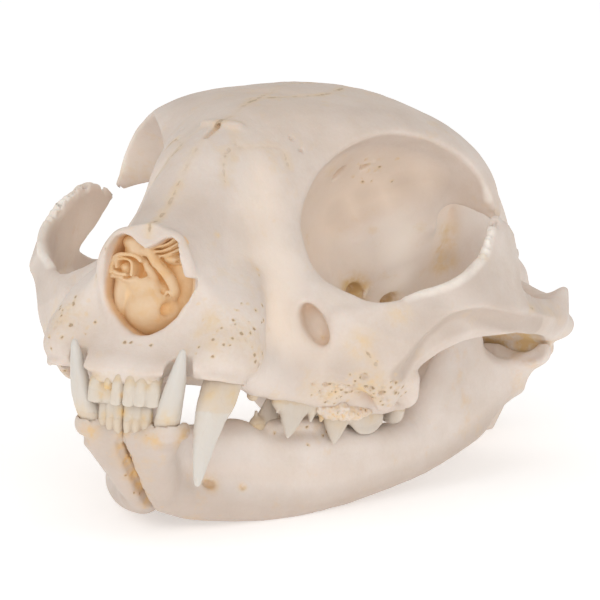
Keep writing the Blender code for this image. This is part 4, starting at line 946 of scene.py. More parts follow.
def mottle_group():
    """Cloudy colour of dry bone: two tones in soft patches with a fine grain on top."""
    tree, given, result = start_group(
        "bone_mottle", [("Place", "Vector", None), ("Pale", "Color", (0.8, 0.7, 0.6, 1)),
                        ("Warm", "Color", (0.7, 0.6, 0.5, 1)), ("Patch mm", "Float", 6.0)],
        [("Colour", "Color"), ("Grain", "Float")])
    per_mm = sums(tree, "DIVIDE", 1000.0, given.outputs["Patch mm"])
    patches = add(tree, "ShaderNodeTexNoise", Vector=given.outputs["Place"], Scale=per_mm, Detail=4.0,
                  Roughness=0.55)
    grain = add(tree, "ShaderNodeTexNoise", Vector=given.outputs["Place"], Scale=2600.0, Detail=3.0,
                Roughness=0.6)
    amount = sums(tree, "ADD", spread(tree, patches.outputs[0], 0.36, 0.66, 0.0, 0.85),
                  spread(tree, grain.outputs[0], 0.3, 0.7, -0.12, 0.12))
    colour = tint(tree, amount, given.outputs["Pale"], given.outputs["Warm"])
    tree.links.new(colour, result.inputs["Colour"])
    tree.links.new(grain.outputs[0], result.inputs["Grain"])
    return tree


def pore_group():
    """Fine pores of bone, sunk, with painted shade darkening them, where the porous mark is high."""
    tree, given, result = start_group(
        "bone_pores", [("Place", "Vector", None), ("Porous", "Float", 0.0), ("Pore mm", "Float", 0.45)],
        [("Mask", "Float"), ("Halo", "Float"), ("Height", "Float")])
    per_mm = sums(tree, "DIVIDE", 1000.0, given.outputs["Pore mm"])
    wobble = add(tree, "ShaderNodeTexNoise", Vector=given.outputs["Place"], Scale=1500.0, Detail=2.0)
    moved = add(tree, "ShaderNodeVectorMath", {"operation": "SCALE"}, in0=wobble.outputs["Color"],
                Scale=0.0003)
    place = add(tree, "ShaderNodeVectorMath", {"operation": "ADD"}, in0=given.outputs["Place"],
                in1=moved.outputs[0])
    cells = add(tree, "ShaderNodeTexVoronoi", Vector=place.outputs[0], Scale=per_mm)
    which = add(tree, "ShaderNodeSeparateColor", Color=cells.outputs["Color"])
    share = spread(tree, given.outputs["Porous"], 0.05, 1.6, 0.0, 0.9)
    chosen = sums(tree, "LESS_THAN", which.outputs[0], share)
    size = add(tree, "ShaderNodeMath", {"operation": "MULTIPLY_ADD"}, in0=which.outputs[1], in1=0.16,
               in2=0.16).outputs[0]
    past_edge = sums(tree, "SUBTRACT", cells.outputs["Distance"], size)
    core = sums(tree, "MULTIPLY", spread(tree, past_edge, -0.08, 0.06, 1.0, 0.0), chosen)
    halo = sums(tree, "MULTIPLY", spread(tree, cells.outputs["Distance"], 0.2, 0.7, 1.0, 0.0), chosen)
    tree.links.new(core, result.inputs["Mask"])
    tree.links.new(halo, result.inputs["Halo"])
    tree.links.new(sums(tree, "MULTIPLY", core, -0.12), result.inputs["Height"])
    return tree


def seam_group():
    """A thin wandering line where two bones meet, from the distance to the seam in mm."""
    tree, given, result = start_group(
        "bone_seam",
        [("Place", "Vector", None), ("Off seam mm", "Float", FAR_OFF), ("Half width mm", "Float", 0.17)],
        [("Line", "Float"), ("Rim", "Float"), ("Height", "Float")])
    wander = add(tree, "ShaderNodeTexNoise", Vector=given.outputs["Place"], Scale=900.0, Detail=3.0)
    fade = add(tree, "ShaderNodeTexNoise", Vector=given.outputs["Place"], Scale=230.0, Detail=1.0)
    astray = spread(tree, wander.outputs[0], 0.3, 0.7, -0.28, 0.28)
    off = sums(tree, "ABSOLUTE", sums(tree, "ADD", given.outputs["Off seam mm"], astray))
    line = sums(tree, "SUBTRACT", 1.0, sums(tree, "DIVIDE", off, given.outputs["Half width mm"]))
    line = sums(tree, "MULTIPLY", spread(tree, line, 0.0, 0.7),
                spread(tree, fade.outputs[0], 0.42, 0.58, 0.1, 1.0))
    rim = sums(tree, "MULTIPLY", spread(tree, off, 0.1, 1.1, 1.0, 0.0),
               spread(tree, fade.outputs[0], 0.4, 0.6, 0.25, 1.0))
    tree.links.new(line, result.inputs["Line"])
    tree.links.new(rim, result.inputs["Rim"])
    tree.links.new(sums(tree, "MULTIPLY", line, -0.06), result.inputs["Height"])
    return tree


MOTTLE, PORES, SEAM_LINE = mottle_group(), pore_group(), seam_group()


def mark(tree, name):
    """A mark stored on the mesh, such as how hollow or how stained it is."""
    return add(tree, "ShaderNodeAttribute", {"attribute_name": name}).outputs["Fac"]


def use(tree, group, **inputs):
    """Place one of the shared node groups with its own values."""
    return add(tree, "ShaderNodeGroup", {"node_tree": group}, **inputs).outputs


def bone_material(name, pale, warm, crease_shading_and_dirt, hollow_glow_and_stain, ochre, roughness):
    """Dry bone: mottled, ochre where stained; warmer where hollow, partly stain and dirt, partly painted
    bounce light, fill light and shade; painted fill light, shade and a highlight where the marks say.
    """
    material = bpy.data.materials.new(name)
    material.use_nodes = True
    tree = material.node_tree
    shader = tree.nodes["Principled BSDF"]
    place = add(tree, "ShaderNodeTexCoord").outputs["Object"]
    mottle = use(tree, MOTTLE, Place=place, Pale=pale, Warm=warm, Patch_mm=7.0)
    pores = use(tree, PORES, Place=place, Porous=mark(tree, "porous"), Pore_mm=0.7)
    seams = use(tree, SEAM_LINE, Place=place, Off_seam_mm=mark(tree, "seam"))
    patch = add(tree, "ShaderNodeTexNoise", Vector=place, Scale=650.0, Detail=4.0, Roughness=0.65).outputs[0]
    # painted fill light and warm bounce light deep in hollows such as the eye socket, partly warm stain
    # there
    colour = tint(tree, spread(tree, mark(tree, "deep"), -0.1, 0.2, 0.0, 0.95), mottle["Colour"], hollow_glow_and_stain)
    # painted shade and warm bounce light in creases, partly dirt there
    colour = tint(tree, spread(tree, mark(tree, "hollow"), 0.05, 0.38, 0.0, 0.75), colour, crease_shading_and_dirt)
    stain = sums(tree, "MULTIPLY", mark(tree, "stain"), spread(tree, patch, 0.36, 0.6, 0.1, 0.9))
    stain = sums(tree, "MAXIMUM", stain, sums(tree, "MULTIPLY", pores["Halo"], 0.55))
    cloud = add(tree, "ShaderNodeTexNoise", Vector=place, Scale=210.0, Detail=6.0, Roughness=0.7).outputs[0]
    stain = sums(tree, "MAXIMUM", stain, spread(tree, cloud, 0.57, 0.72, 0.0, 0.34))
    stain = sums(tree, "MAXIMUM", stain, sums(tree, "MULTIPLY", seams["Rim"], 0.42))
    # painted fill light at the given spots
    colour = tint(tree, mark(tree, "paler"), colour, (0.97, 0.88, 0.79, 1.0))
    # painted shade at the given spots, under the arch's ridge and under the jaw, in places a darker tan of
    # the bone
    colour = tint(tree, mark(tree, "shade_and_tan"), colour, (0.46, 0.365, 0.30, 1.0))
    # painted highlight along the crest and brow
    colour = tint(tree, sums(tree, "MULTIPLY", mark(tree, "crest_highlight"), spread(tree, patch, 0.3, 0.6, 0.4, 1.0)),
                  colour, (0.92, 0.87, 0.80, 1.0))
    colour = tint(tree, stain, colour, ochre)
    colour = tint(tree, sums(tree, "MULTIPLY", mark(tree, "lining"), 0.8), colour, (0.76, 0.49, 0.25, 1.0))
    # painted shade inside the pores; the seams are dark joints
    pore_shade_and_seams = sums(tree, "MULTIPLY", pores["Mask"], 0.5)
    pore_shade_and_seams = sums(tree, "MAXIMUM", pore_shade_and_seams, sums(tree, "MULTIPLY", seams["Line"], 0.36))
    colour = tint(tree, pore_shade_and_seams, colour, (0.20, 0.115, 0.055, 1.0))
    height = sums(tree, "ADD", pores["Height"], seams["Height"])
    height = sums(tree, "ADD", height, sums(tree, "MULTIPLY", mottle["Grain"], 0.02))
    height = sums(tree, "ADD", height, sums(tree, "MULTIPLY", patch, 0.05))
    bump = add(tree, "ShaderNodeBump", Height=height, Distance=0.001, Strength=0.8)
    tree.links.new(colour, shader.inputs["Base Color"])
    tree.links.new(bump.outputs[0], shader.inputs["Normal"])
    tree.links.new(spread(tree, mottle["Grain"], 0.3, 0.7, roughness - 0.06, roughness + 0.08),
                   shader.inputs["Roughness"])
    shader.inputs["Subsurface Weight"].default_value = 0.15
    shader.inputs["Subsurface Radius"].default_value = (1.0, 0.6, 0.4)
    shader.inputs["Subsurface Scale"].default_value = 0.0012
    shader.inputs["Specular IOR Level"].default_value = 0.35
    return material


# crease colour: painted warm bounce light, partly dirt; deep-hollow colour: painted fill light, lighter than
# the bone, partly warm stain
SKULL_BONE = bone_material("skull_bone", pale=(0.745, 0.655, 0.59, 1), warm=(0.665, 0.56, 0.48, 1),
                           crease_shading_and_dirt=(0.86, 0.64, 0.46, 1), hollow_glow_and_stain=(0.97, 0.82, 0.68, 1),
                           ochre=(0.74, 0.53, 0.27, 1), roughness=0.56)
cranium = cast("skull_upper", points, faces, marks, SKULL_BONE, "skull_bone")
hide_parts("cranium")

# ================================================================ inside of the nose
# The scrolls and the partition inside the nose: paper-thin bone, orange-brown in its
# creases, partly because the dried lining stays on it and partly from painted warm fill
# light there, with a faint painted orange glow.  They fill the nose to just behind its rim:
# a smooth swollen scroll below, curled leaves above it, the leaning partition between.

NOSE_STEP = 0.1
NOSE_FORWARD = (0.36, -0.7, 0.32)            # brings the scrolls to just behind the rim, mm
NOSE_CREASE, NOSE_HOLLOW = 0.7, 1.8          # mm: how far round a point bone is looked for


def nose_filling(b):
    """The body of the scrolls behind the opening, with the swollen lower one in front."""
    b.ball((-3.0, 12.5, 11.5), (3.6, 4.6, 7.0), soft=0.3)
    b.ball((2.6, 12.8, 12.5), (3.6, 4.6, 6.0), soft=0.3)
    b.ball((-1.0, 10.7, 8.7), (4.1, 4.9, 3.6), turned("y", 10), soft=0.5)
    b.bar([(-4.6, 8.6, 10.9), (-3.6, 7.6, 11.2), (-2.0, 7.2, 11.6), (-0.5, 7.4, 11.6)],
          wide=[0.5, 0.8, 1.0, 0.7], soft=1.2)
    b.ball((-3.0, 8.8, 16.2), (2.1, 3.2, 1.4), soft=0.4)
    b.ball((-4.5, 9.6, 10.4), (1.5, 3.2, 3.8), soft=0.5)
    b.bar([(-3.9, 6.9, 15.1), (-2.7, 6.5, 15.2), (-1.6, 6.6, 15.2)], wide=[0.35, 0.6, 0.5], soft=0.5)


def nose_partition(b):
    """The partition and the light tissue that leans on it, sloping down to the left."""
    b.bar([(-0.9, 6.4, 15.7), (-0.4, 6.9, 14.5), (0.7, 7.2, 13.3), (1.9, 7.3, 12.2), (2.6, 7.4, 10.8),
           (2.4, 7.9, 9.4)], wide=[0.4, 0.6, 0.7, 0.7, 0.6, 0.4], soft=0.6)
    b.bar([(-1.5, 7.2, 13.7), (-0.9, 7.4, 12.9), (-0.3, 7.4, 12.2)], wide=[0.35, 0.5, 0.4], soft=0.4)
    b.bar([(-0.3, 7.2, 13.7), (0.15, 6.9, 13.0), (0.5, 7.0, 12.5), (1.1, 7.2, 11.6), (1.0, 7.4, 10.6),
           (0.6, 7.6, 9.6)], wide=[0.12, 0.2, 0.26, 0.26, 0.24, 0.1], soft=0.35, take=True)
    b.bar([(1.5, 7.1, 10.3), (1.75, 7.0, 10.65), (2.1, 7.0, 10.6), (2.3, 7.1, 10.2), (2.05, 7.2, 9.85)],
          wide=[0.15, 0.18, 0.16, 0.14, 0.12], soft=0.1)
    b.bar([(0.7, 7.6, 8.4), (1.9, 7.6, 8.7), (3.4, 7.2, 9.6)], wide=[0.4, 0.75, 0.5], soft=0.8, take=True)


def nose_scrolls(b):
    """Curled sheets as lines in front view; x below 0 is the cat's right side."""
    b.ball((-3.0, 7.7, 13.3), (2.4, 1.3, 1.5), soft=0.5, take=True)
    b.ball((-1.5, 7.4, 12.9), (0.6, 1.6, 1.1), turned("y", -20), soft=0.3, take=True)
    b.leaf([(-5.5, 12.5), (-5.35, 13.8), (-4.8, 14.5), (-3.8, 14.7), (-2.9, 14.7), (-2.1, 14.5),
            (-1.6, 14.1)], 5.9, 12, 0.24, (0.02, -0.01), 0.2)
    b.leaf([(-4.9, 13.1), (-4.9, 13.9), (-4.3, 14.15), (-3.6, 14.15), (-2.95, 13.85), (-2.75, 13.2),
            (-2.8, 12.3)], 6.1, 12, 0.17, (0.02, 0), 0.15)
    b.ball((-3.9, 7.4, 13.1), (0.75, 1.3, 0.72), soft=0.3)
    b.leaf([(-5.6, 12.75), (-5.0, 12.5), (-4.3, 12.3), (-3.5, 12.3)], 5.9, 12, 0.2, (0.03, 0), 0.2)
    b.leaf([(-5.7, 11.95), (-4.7, 11.95), (-3.6, 11.6), (-2.4, 11.7)], 6.4, 12, 0.18, (0.03, 0), 0.4)


def nose_recess(b):
    """The deep folded recess under the left nasal bone."""
    b.bar([(-0.4, 7.4, 15.2), (0.8, 7.0, 15.6), (2.2, 6.7, 16.4), (3.1, 6.6, 17.2)],
          wide=[0.3, 0.7, 0.8, 0.6], soft=0.3, take=True)
    for i, y in enumerate((6.1, 6.6, 7.1)):
        b.leaf([(-0.5, 15.8 - 0.5 * i), (0.6, 16.0 - 0.55 * i), (1.7, 16.4 - 0.55 * i),
                (2.8, 17.2 - 0.65 * i)], y, 12, 0.15, (0.02, 0), 0.25)
    b.ball((1.9, 8.6, 14.6), (1.5, 1.9, 0.7), soft=0.3)
    b.bar([(2.5, 7.6, 14.5), (2.9, 7.2, 14.1), (3.1, 7.0, 13.6)],
          wide=[0.22, 0.36, 0.3], soft=0.2, take=True)
    b.bar([(0.4, 7.1, 14.3), (1.2, 7.0, 13.9), (2.2, 6.9, 13.5), (2.9, 6.8, 12.9), (3.2, 6.8, 12.2)],
          wide=[0.1, 0.17, 0.22, 0.2, 0.12], soft=0.25, take=True)
    b.bar([(3.7, 5.6, 16.6), (4.1, 5.9, 15.4), (4.2, 6.1, 14.0), (4.3, 6.3, 12.6), (4.3, 6.5, 11.2)],
          wide=[0.3, 0.5, 0.55, 0.6, 0.6], soft=0.5)
    b.bar([(4.4, 6.4, 12.2), (5.6, 6.2, 12.0), (6.0, 6.2, 11.4), (5.0, 6.4, 10.2)], wide=0.9, soft=0.6)


nose = Bone((-6.8, 3.0, 4.6), (6.8, 12.6, 18.6), NOSE_STEP)
for make in (nose_filling, nose_scrolls, nose_partition, nose_recess):
    make(nose)
near_share = solid_share(nose.field, round(NOSE_CREASE / NOSE_STEP))
wide_share = solid_share(nose.field, round(NOSE_HOLLOW / NOSE_STEP))
points, faces = skin(nose.field, nose.low, NOSE_STEP)
away = outward(points, faces)
marks = {"hollow": read_off(near_share, points, nose.low, NOSE_STEP) - 0.5,
         "deep": read_off(wide_share, points, nose.low, NOSE_STEP) - 0.55 + 0.05 * (points[:, 1] - 8.0),
         "seam": np.full(len(points), FAR_OFF), "stain": 0.4 + 0.6 * lumps(points, 1.3, 3),
         "porous": np.zeros(len(points)), "lining": np.full(len(points), 0.5)}
points = points + away * 0.03 * (lumps(points, 0.6, 4) + lumps(points, 1.6, 8))[:, None] + NOSE_FORWARD
# bright orange crease and hollow colours: painted fill light against the shade deep in the nose, over the
# real orange of the lining
NOSE_BONE = bone_material("nose_bone", pale=(0.58, 0.50, 0.42, 1), warm=(0.54, 0.42, 0.30, 1),
                          crease_shading_and_dirt=(1.0, 0.68, 0.32, 1), hollow_glow_and_stain=(0.97, 0.74, 0.46, 1),
                          ochre=(0.58, 0.36, 0.16, 1), roughness=0.5)
# painted light: a faint orange glow of the scrolls, which are no lamp
shader = NOSE_BONE.node_tree.nodes["Principled BSDF"]
shader.inputs["Emission Color"].default_value = (1.0, 0.64, 0.27, 1.0)
shader.inputs["Emission Strength"].default_value = 0.1
scrolls = cast("nose_scrolls", points, faces, marks, NOSE_BONE, "skull_bone")

# ================================================================ lower jaw
# The lower jaw: two curved half bones that meet at the chin in a rough seam.  Smooth and
# pale along the body, with small nerve holes near the chin, pitted at the tooth sockets,
# flaring back into the blade for the chewing muscle, the joint bar and the hooked corner.


def mandible(b):
    """One half of the lower jaw: body, chin, ramus with its three processes."""
    lower_edge = [(4, -12), (12, -15.5), (26, -15), (37, -12), (46, -8.7), (52, -5.5), (58, 0), (62, 2)]
    bow = [(4, 1.0), (8, 1.1), (11, 1.2), (14, 2.3), (17, 4.3), (20, 6.6), (24, 9.3), (62, 25.38)]
    thickness = [(0, 1.6), (8, 1.4), (11, 1.4), (14, 1.8), (17, 2.4), (25, 2.7), (38, 2.6), (44, 2.2),
                 (49, 1.7), (64, 1.4)]
    outline = [(3, -6.0), (3.2, -7.9), (6, -10.0), (8.0, -12.4), (10.2, -14.3), (13, -15.4),
               (16.2, -15.8), (20.8, -15.5), (26.1, -15.0), (32.6, -13.4), (37.3, -11.9), (46, -8.7),
               (51.6, -5.7), (54.8, -3.6), (56.4, -1.6), (57.6, 0.2), (59.5, 1.4), (61.0, 2.2),
               (61.2, 3.8), (61.0, 5.4), (60.0, 6.3), (57.2, 6.9), (54.8, 8.0), (54.2, 10.5), (55.0, 14),
               (56.2, 17.0), (57.0, 19.2), (56.4, 20.4), (54.6, 20.0), (52.2, 17.8), (49.4, 14.2),
               (46.4, 8), (44.0, 2.4), (41.4, -1.8), (37, -3.0), (30, -3.4), (24, -4.4), (20.6, -4.2),
               (18.2, -3.5), (15.2, -4.3), (12, -4.7), (8.5, -4.9), (6, -5.2)]

    def middle(y, z):
        y = np.clip(y, 4, 62)
        return graded(bow, y) + 0.14 * np.clip(z - graded(lower_edge, y), 0, 10)

    def half(y, z):
        h = graded(thickness, np.clip(y, 0, 64))
        return h - (h - 0.95) * np.clip((z + 1) / 7, 0, 1)

    b.plate(outline, middle, half)
    # the chin
    b.bar([(2.2, 4.2, -7.3), (2.1, 6.2, -8.9), (1.9, 9.4, -11.3), (1.5, 12.2, -13.2)],
          wide=[2.0, 2.5, 2.6, 2.1], thick=[2.7, 2.5, 2.1, 1.6], facing=(0, -0.7, -0.7), soft=1.4)
    b.bar([(4.6, 3.9, -6.2), (3.3, 5.7, -8.5), (2.3, 8.8, -11.0)], wide=[2.1, 1.8, 1.5], soft=1.0)
    b.bar([(0.5, 2.6, -6.7), (2.6, 2.9, -6.7), (4.2, 3.7, -6.3)], wide=[1.1, 1.1, 1.5], soft=1.2)
    # thick lower edge
    b.bar([(3.4, 14, -13.4), (7.2, 20, -12.8), (10.0, 26, -12.0), (14.6, 37, -9.4), (18.4, 46, -6.4),
           (21.4, 53.4, -2.6)], wide=[2.2, 2.6, 2.6, 2.3, 1.9, 1.5], soft=1.6)
    # hollow for the chewing muscle, then the joint bar and the hooked corner
    b.ball((28.2, 50.0, 5.0), (5.0, 7.2, 8.5), turned("z", 15), soft=1.0, take=True)
    b.bar([(18.6, 60.2, 6.4), (24, 60.2, 6.6), (28.4, 58.9, 7.6)], wide=[1.5, 1.8, 1.4], soft=1.5)
    b.bar([(21.8, 55.6, 1.4), (23.4, 59.4, 4.8), (27.4, 59.0, 6.8)], wide=[1.6, 1.7, 1.2], soft=2.0)
    b.ball((27.6, 54.4, 8.2), (4.6, 4.4, 3.2), turned("z", 15), soft=0.6, take=True)
    b.bar([(21.6, 55, -1.2), (23.2, 58.6, 1.8), (23.9, 60.6, 3.0)], wide=[1.6, 1.4, 1.0], soft=1.5)


def jaw_details(b):
    """Collar of bone round the canine, nerve holes and the rough groove of the chin seam."""
    # collar round the canine, and the crease under it
    b.bar([(3.1, 3.6, -5.6), (3.9, 2.8, -5.6), (5.0, 2.2, -5.5), (6.0, 2.5, -5.3), (6.5, 3.6, -5.2),
           (6.7, 5.0, -5.2), (6.0, 6.4, -5.3)], wide=[0.8, 0.9, 0.95, 0.95, 0.95, 1.0, 0.8],
          thick=[0.45, 0.55, 0.6, 0.6, 0.6, 0.6, 0.5], soft=0.7)
    b.bar([(5.2, 2.4, -7.3), (6.6, 3.8, -7.1), (7.9, 5.6, -6.9), (8.4, 7.6, -6.9)],
          wide=[0.25, 0.4, 0.45, 0.3], soft=0.9, take=True)
    # groove of the chin seam
    b.bar([(0, 1.2, -5.0), (0, 1.5, -6.4), (0, 3.0, -8.5), (0, 7.0, -11.6), (0, 11.0, -14.4)],
          wide=[0.3, 0.4, 0.55, 0.6, 0.5], soft=0.7, take=True)
    # nerve holes
    b.ball((6.1, 14.3, -11.5), (1.0, 0.9, 0.55), turned("z", 45), soft=0.2, take=True)
    b.ball((9.0, 17.5, -11.6), (0.4, 0.4, 0.32), soft=0.15, take=True)
    # notch between the blade and the joint bar
    b.plate([(51.0, 10.6), (51.4, 8.9), (54.4, 7.3), (57.0, 6.2), (59.0, 7.0), (61.4, 8.2), (63, 12),
             (58, 13), (53.0, 13)],
            lambda y, z: graded([(50, 20.3), (63, 25.8)], y) + 0.8 + 0 * z,
            lambda y, z: 4.0 + 0 * y + 0 * z, soft=0.3, take=True)
    # raised edge of bone along the cheek teeth
    b.bar([(10.2, 20.8, -4.0), (11.6, 23.4, -3.6), (13.2, 26.6, -3.4), (14.6, 30.0, -3.2)],
          wide=0.75, soft=1.2)
    b.bar([(9.4, 15.4, -3.6), (10.6, 17.4, -3.0), (11.6, 19.2, -3.6)], wide=[0.5, 0.8, 0.5], soft=0.8)


JAW_EDGE = [(12, -11.2), (26, -10.8), (37, -7.8), (46, -4.6), (58, 3.0)]
JAW_YELLOW = [(6.1, 14.3, -11.5, 1.1, 1.4), (9.0, 17.5, -11.6, 0.6, 1.3), (0, 2.0, -5.6, 1.3, 1.3),
              (0, 3.2, -8.0, 1.4, 1.2), (0.2, 4.6, -9.2, 1.4, 1.2), (0.2, 6.6, -10.9, 1.4, 1.2),
              (0.2, 8.6, -12.4, 1.4, 1.2), (0.2, 10.8, -13.8, 1.3, 1.1), (7.0, 4.4, -5.8, 1.7, 1.0),
              (4.2, 2.0, -6.4, 1.6, 0.9), (3.2, 3.2, -4.4, 1.4, 0.8), (11.4, 24.2, -4.0, 1.6, 0.55),
              (13.6, 28.4, -3.8, 1.6, 0.55), (9.6, 20.4, -4.2, 1.3, 0.45), (7.4, 5.8, -7.2, 1.4, 0.9),
              (23.8, 60.6, 3.4, 2.0, 0.6), (22.2, 56.6, -0.8, 1.8, 0.4)]
JAW_POROUS = [(0, 5.0, -8.0, 2.6, 1.0), (0, 9.5, -12.6, 2.6, 1.0), (3.0, 4.0, -6.4, 2.2, 0.5),
              (12.4, 26.0, -4.4, 2.4, 0.5), (9.6, 20.8, -4.6, 2.2, 0.4), (24.0, 60.6, 4.4, 2.4, 0.6),
              (22.2, 56.6, -1.0, 2.0, 0.4)]
CHIN_ROUGH = [(0, 2.4, -6.8, 1.5, 1.0), (0, 4.4, -9.0, 1.5, 1.0), (0, 7.0, -11.2, 1.5, 1.0),
              (0, 10.0, -13.2, 1.5, 1.0)]
LOWER_FANG_GAP, CLEAR_OF_SKULL, CLEAR_OF_FANG = 0.13, 0.35, 0.5      # mm
CHIN_GAP = 0.12                              # mm from the middle to each half of the jaw

lower = Bone()
mandible(lower)
jaw_details(lower)
lower.keep_off(lower_fang, LOWER_FANG_GAP)
lower.keep_off(upper, CLEAR_OF_SKULL)
lower.keep_off(fang, CLEAR_OF_FANG)
lower.field = np.maximum(lower.field, CHIN_GAP - lower.axes[0][:, None, None])
lower.rest_on_floor()
near_share = solid_share(lower.field, round(CREASE / BONE_STEP))
wide_share = solid_share(lower.field, round(HOLLOW / BONE_STEP))
# crease colour: painted shade, partly dirt; deep-hollow colour: painted warm bounce light, partly stain
JAW_BONE = bone_material("jaw_bone", pale=(0.755, 0.67, 0.61, 1), warm=(0.68, 0.585, 0.51, 1),
                         crease_shading_and_dirt=(0.66, 0.46, 0.32, 1), hollow_glow_and_stain=(0.76, 0.60, 0.48, 1),
                         ochre=(0.73, 0.48, 0.21, 1), roughness=0.54)
blank = np.full((2,) + lower.field.shape[1:], BAND, np.float32)
half_points, half_faces = skin(np.concatenate([blank, lower.field], 0), lower.low - (2 * BONE_STEP, 0, 0),
                               BONE_STEP)
away = outward(half_points, half_faces)
# painted shade on the underside: darker under the chin and along the lower edge
under_chin = (-7.5 - half_points[:, 2]) / 9 + (9 - half_points[:, 1]) / 14
under_edge = (graded(JAW_EDGE, half_points[:, 1]) - half_points[:, 2]) / 5
marks = {"hollow": read_off(near_share, half_points, lower.low, BONE_STEP) - 0.5,
         "deep": read_off(wide_share, half_points, lower.low, BONE_STEP) - 0.5,
         "seam": np.full(len(half_points), FAR_OFF),
         "stain": near_spots(half_points, JAW_YELLOW), "porous": near_spots(half_points, JAW_POROUS),
         "shade_and_tan": np.maximum(np.clip(under_chin, 0, 0.5), np.clip(under_edge, 0, 0.55))}
some = marks["porous"] > 0.12
for side, name, node in ((1, "jaw_left", "mandible_left"), (-1, "jaw_right", "mandible_right")):
    points, faces = half_points * (side, 1, 1), half_faces[:, ::side]
    move = 0.05 * lumps(points, 2.6, 21) + 0.03 * lumps(points, 1.1, 22)
    move += near_spots(points, CHIN_ROUGH) * (0.22 * lumps(points, 0.8, 23) + 0.16 * lumps(points, 0.45, 24))
    move[some] -= 0.22 * np.clip(marks["porous"][some], 0, 1) * pits(points[some], 1.1, 25, 0.5)
    points = points + away * (side, 1, 1) * move[:, None]
    half = cast(name, points, faces, marks, JAW_BONE, "jaw_bone")
    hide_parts(node)

# ================================================================ canine teeth
# The long pointed canines: smooth, faintly see-through enamel over dentine, greyer and
# glossier than bone, with a shallow groove down the outer face.  The neck above the crown
# is dull, yellowish root.  The upper right one is missing, so its socket stands empty.

TOOTH_STEP = 0.11


def ripple_group():
    """Faint upright streaks and hairline cracks of old enamel."""
    tree, given, result = start_group(
        "enamel_streaks", [("Place", "Vector", None), ("Stretch", "Float", 0.25)],
        [("Streak", "Float"), ("Crack", "Float")])
    flat = add(tree, "ShaderNodeCombineXYZ", X=1.0, Y=1.0, Z=given.outputs["Stretch"])
    place = add(tree, "ShaderNodeVectorMath", {"operation": "MULTIPLY"}, in0=given.outputs["Place"],
                in1=flat.outputs[0])
    streak = add(tree, "ShaderNodeTexNoise", Vector=place.outputs[0], Scale=1400.0, Detail=4.0,
                 Roughness=0.6)
    crack = add(tree, "ShaderNodeTexNoise", Vector=place.outputs[0], Scale=500.0, Detail=2.0)
    off = sums(tree, "ABSOLUTE", sums(tree, "SUBTRACT", crack.outputs[0], 0.5))
    tree.links.new(streak.outputs[0], result.inputs["Streak"])
    tree.links.new(spread(tree, off, 0.0, 0.006, 1.0, 0.0), result.inputs["Crack"])
    return tree


STREAKS = ripple_group()


def tooth_material(name, enamel, tip, root, tartar, roughness):
    """Enamel below the neck line, root above it; the neck mark is mm past that line."""
    material = bpy.data.materials.new(name)
    material.use_nodes = True
    tree = material.node_tree
    shader = tree.nodes["Principled BSDF"]
    place = add(tree, "ShaderNodeTexCoord").outputs["Object"]
    neck, stain = mark(tree, "neck"), mark(tree, "stain")
    streaks = use(tree, STREAKS, Place=place, Stretch=0.3)
    patch = add(tree, "ShaderNodeTexNoise", Vector=place, Scale=800.0, Detail=4.0, Roughness=0.6).outputs[0]
    past = sums(tree, "ADD", neck, spread(tree, patch, 0.3, 0.7, -0.25, 0.25))
    crown_share = spread(tree, past, -0.1, 0.15)
    body = tint(tree, spread(tree, neck, 1.0, 8.0), enamel, tip)
    body = tint(tree, spread(tree, streaks["Streak"], 0.35, 0.7, 0.0, 0.22), body, root)
    colour = tint(tree, crown_share, root, body)
    colour = tint(tree, sums(tree, "MULTIPLY", stain, spread(tree, patch, 0.34, 0.6, 0.15, 1.0)), colour,
                  tartar)
    colour = tint(tree, sums(tree, "MULTIPLY", streaks["Crack"], 0.12), colour, (0.4, 0.3, 0.2, 1))
    height = sums(tree, "MULTIPLY", sums(tree, "MULTIPLY", patch, 0.12),
                  sums(tree, "SUBTRACT", 1.0, crown_share))
    height = sums(tree, "ADD", sums(tree, "MULTIPLY", streaks["Streak"], 0.02), height)
    bump = add(tree, "ShaderNodeBump", Height=height, Distance=0.001, Strength=0.7)
    tree.links.new(colour, shader.inputs["Base Color"])
    tree.links.new(bump.outputs[0], shader.inputs["Normal"])
    tree.links.new(spread(tree, past, -0.2, 0.3, 0.6, roughness), shader.inputs["Roughness"])
    shader.inputs["Subsurface Weight"].default_value = 0.2
    shader.inputs["Subsurface Radius"].default_value = (1.0, 0.8, 0.6)
    shader.inputs["Subsurface Scale"].default_value = 0.001
    return material


ENAMEL = tooth_material("tooth_enamel", enamel=(0.66, 0.61, 0.55, 1), tip=(0.64, 0.615, 0.575, 1),
                        root=(0.67, 0.575, 0.475, 1), tartar=(0.72, 0.52, 0.26, 1), roughness=0.3)


def canine(name, body, neck_line, stains, side=1):
    """Skin a canine; neck_line(points) is how many mm past the neck each point is."""
    points, faces = skin(body.field, body.low, body.step)
    away = outward(points, faces)
    points = points + away * (0.03 * lumps(points, 0.9, 31) + 0.012 * lumps(points, 0.35, 32))[:, None]
    marks = {"neck": neck_line(points), "stain": near_spots(points, stains)}
    return cast(name, points * (side, 1, 1), faces[:, ::side], marks, ENAMEL, "tooth_enamel")


upper_canine = Bone((4.0, 0.0, -13.0), (14.0, 14.5, 11.0), TOOTH_STEP)
canine_root(upper_canine)
upper_canine.bar([(12.3, 3.6, -1.5), (11.3, 2.9, -4.0), (10.4, 3.3, -7.0), (9.6, 4.4, -9.8)],
                 wide=[0.16, 0.2, 0.18, 0.1], soft=0.35, take=True)
fang_piece = canine("canine_upper_left", upper_canine, lambda p: -2.6 - p[:, 2],
                    [(10.2, 3.8, -0.6, 1.4, 0.6), (12.2, 6.0, -0.8, 1.6, 0.7), (11.4, 3.6, -2.2, 1.0, 0.3)])
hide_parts("upper_canine_left")

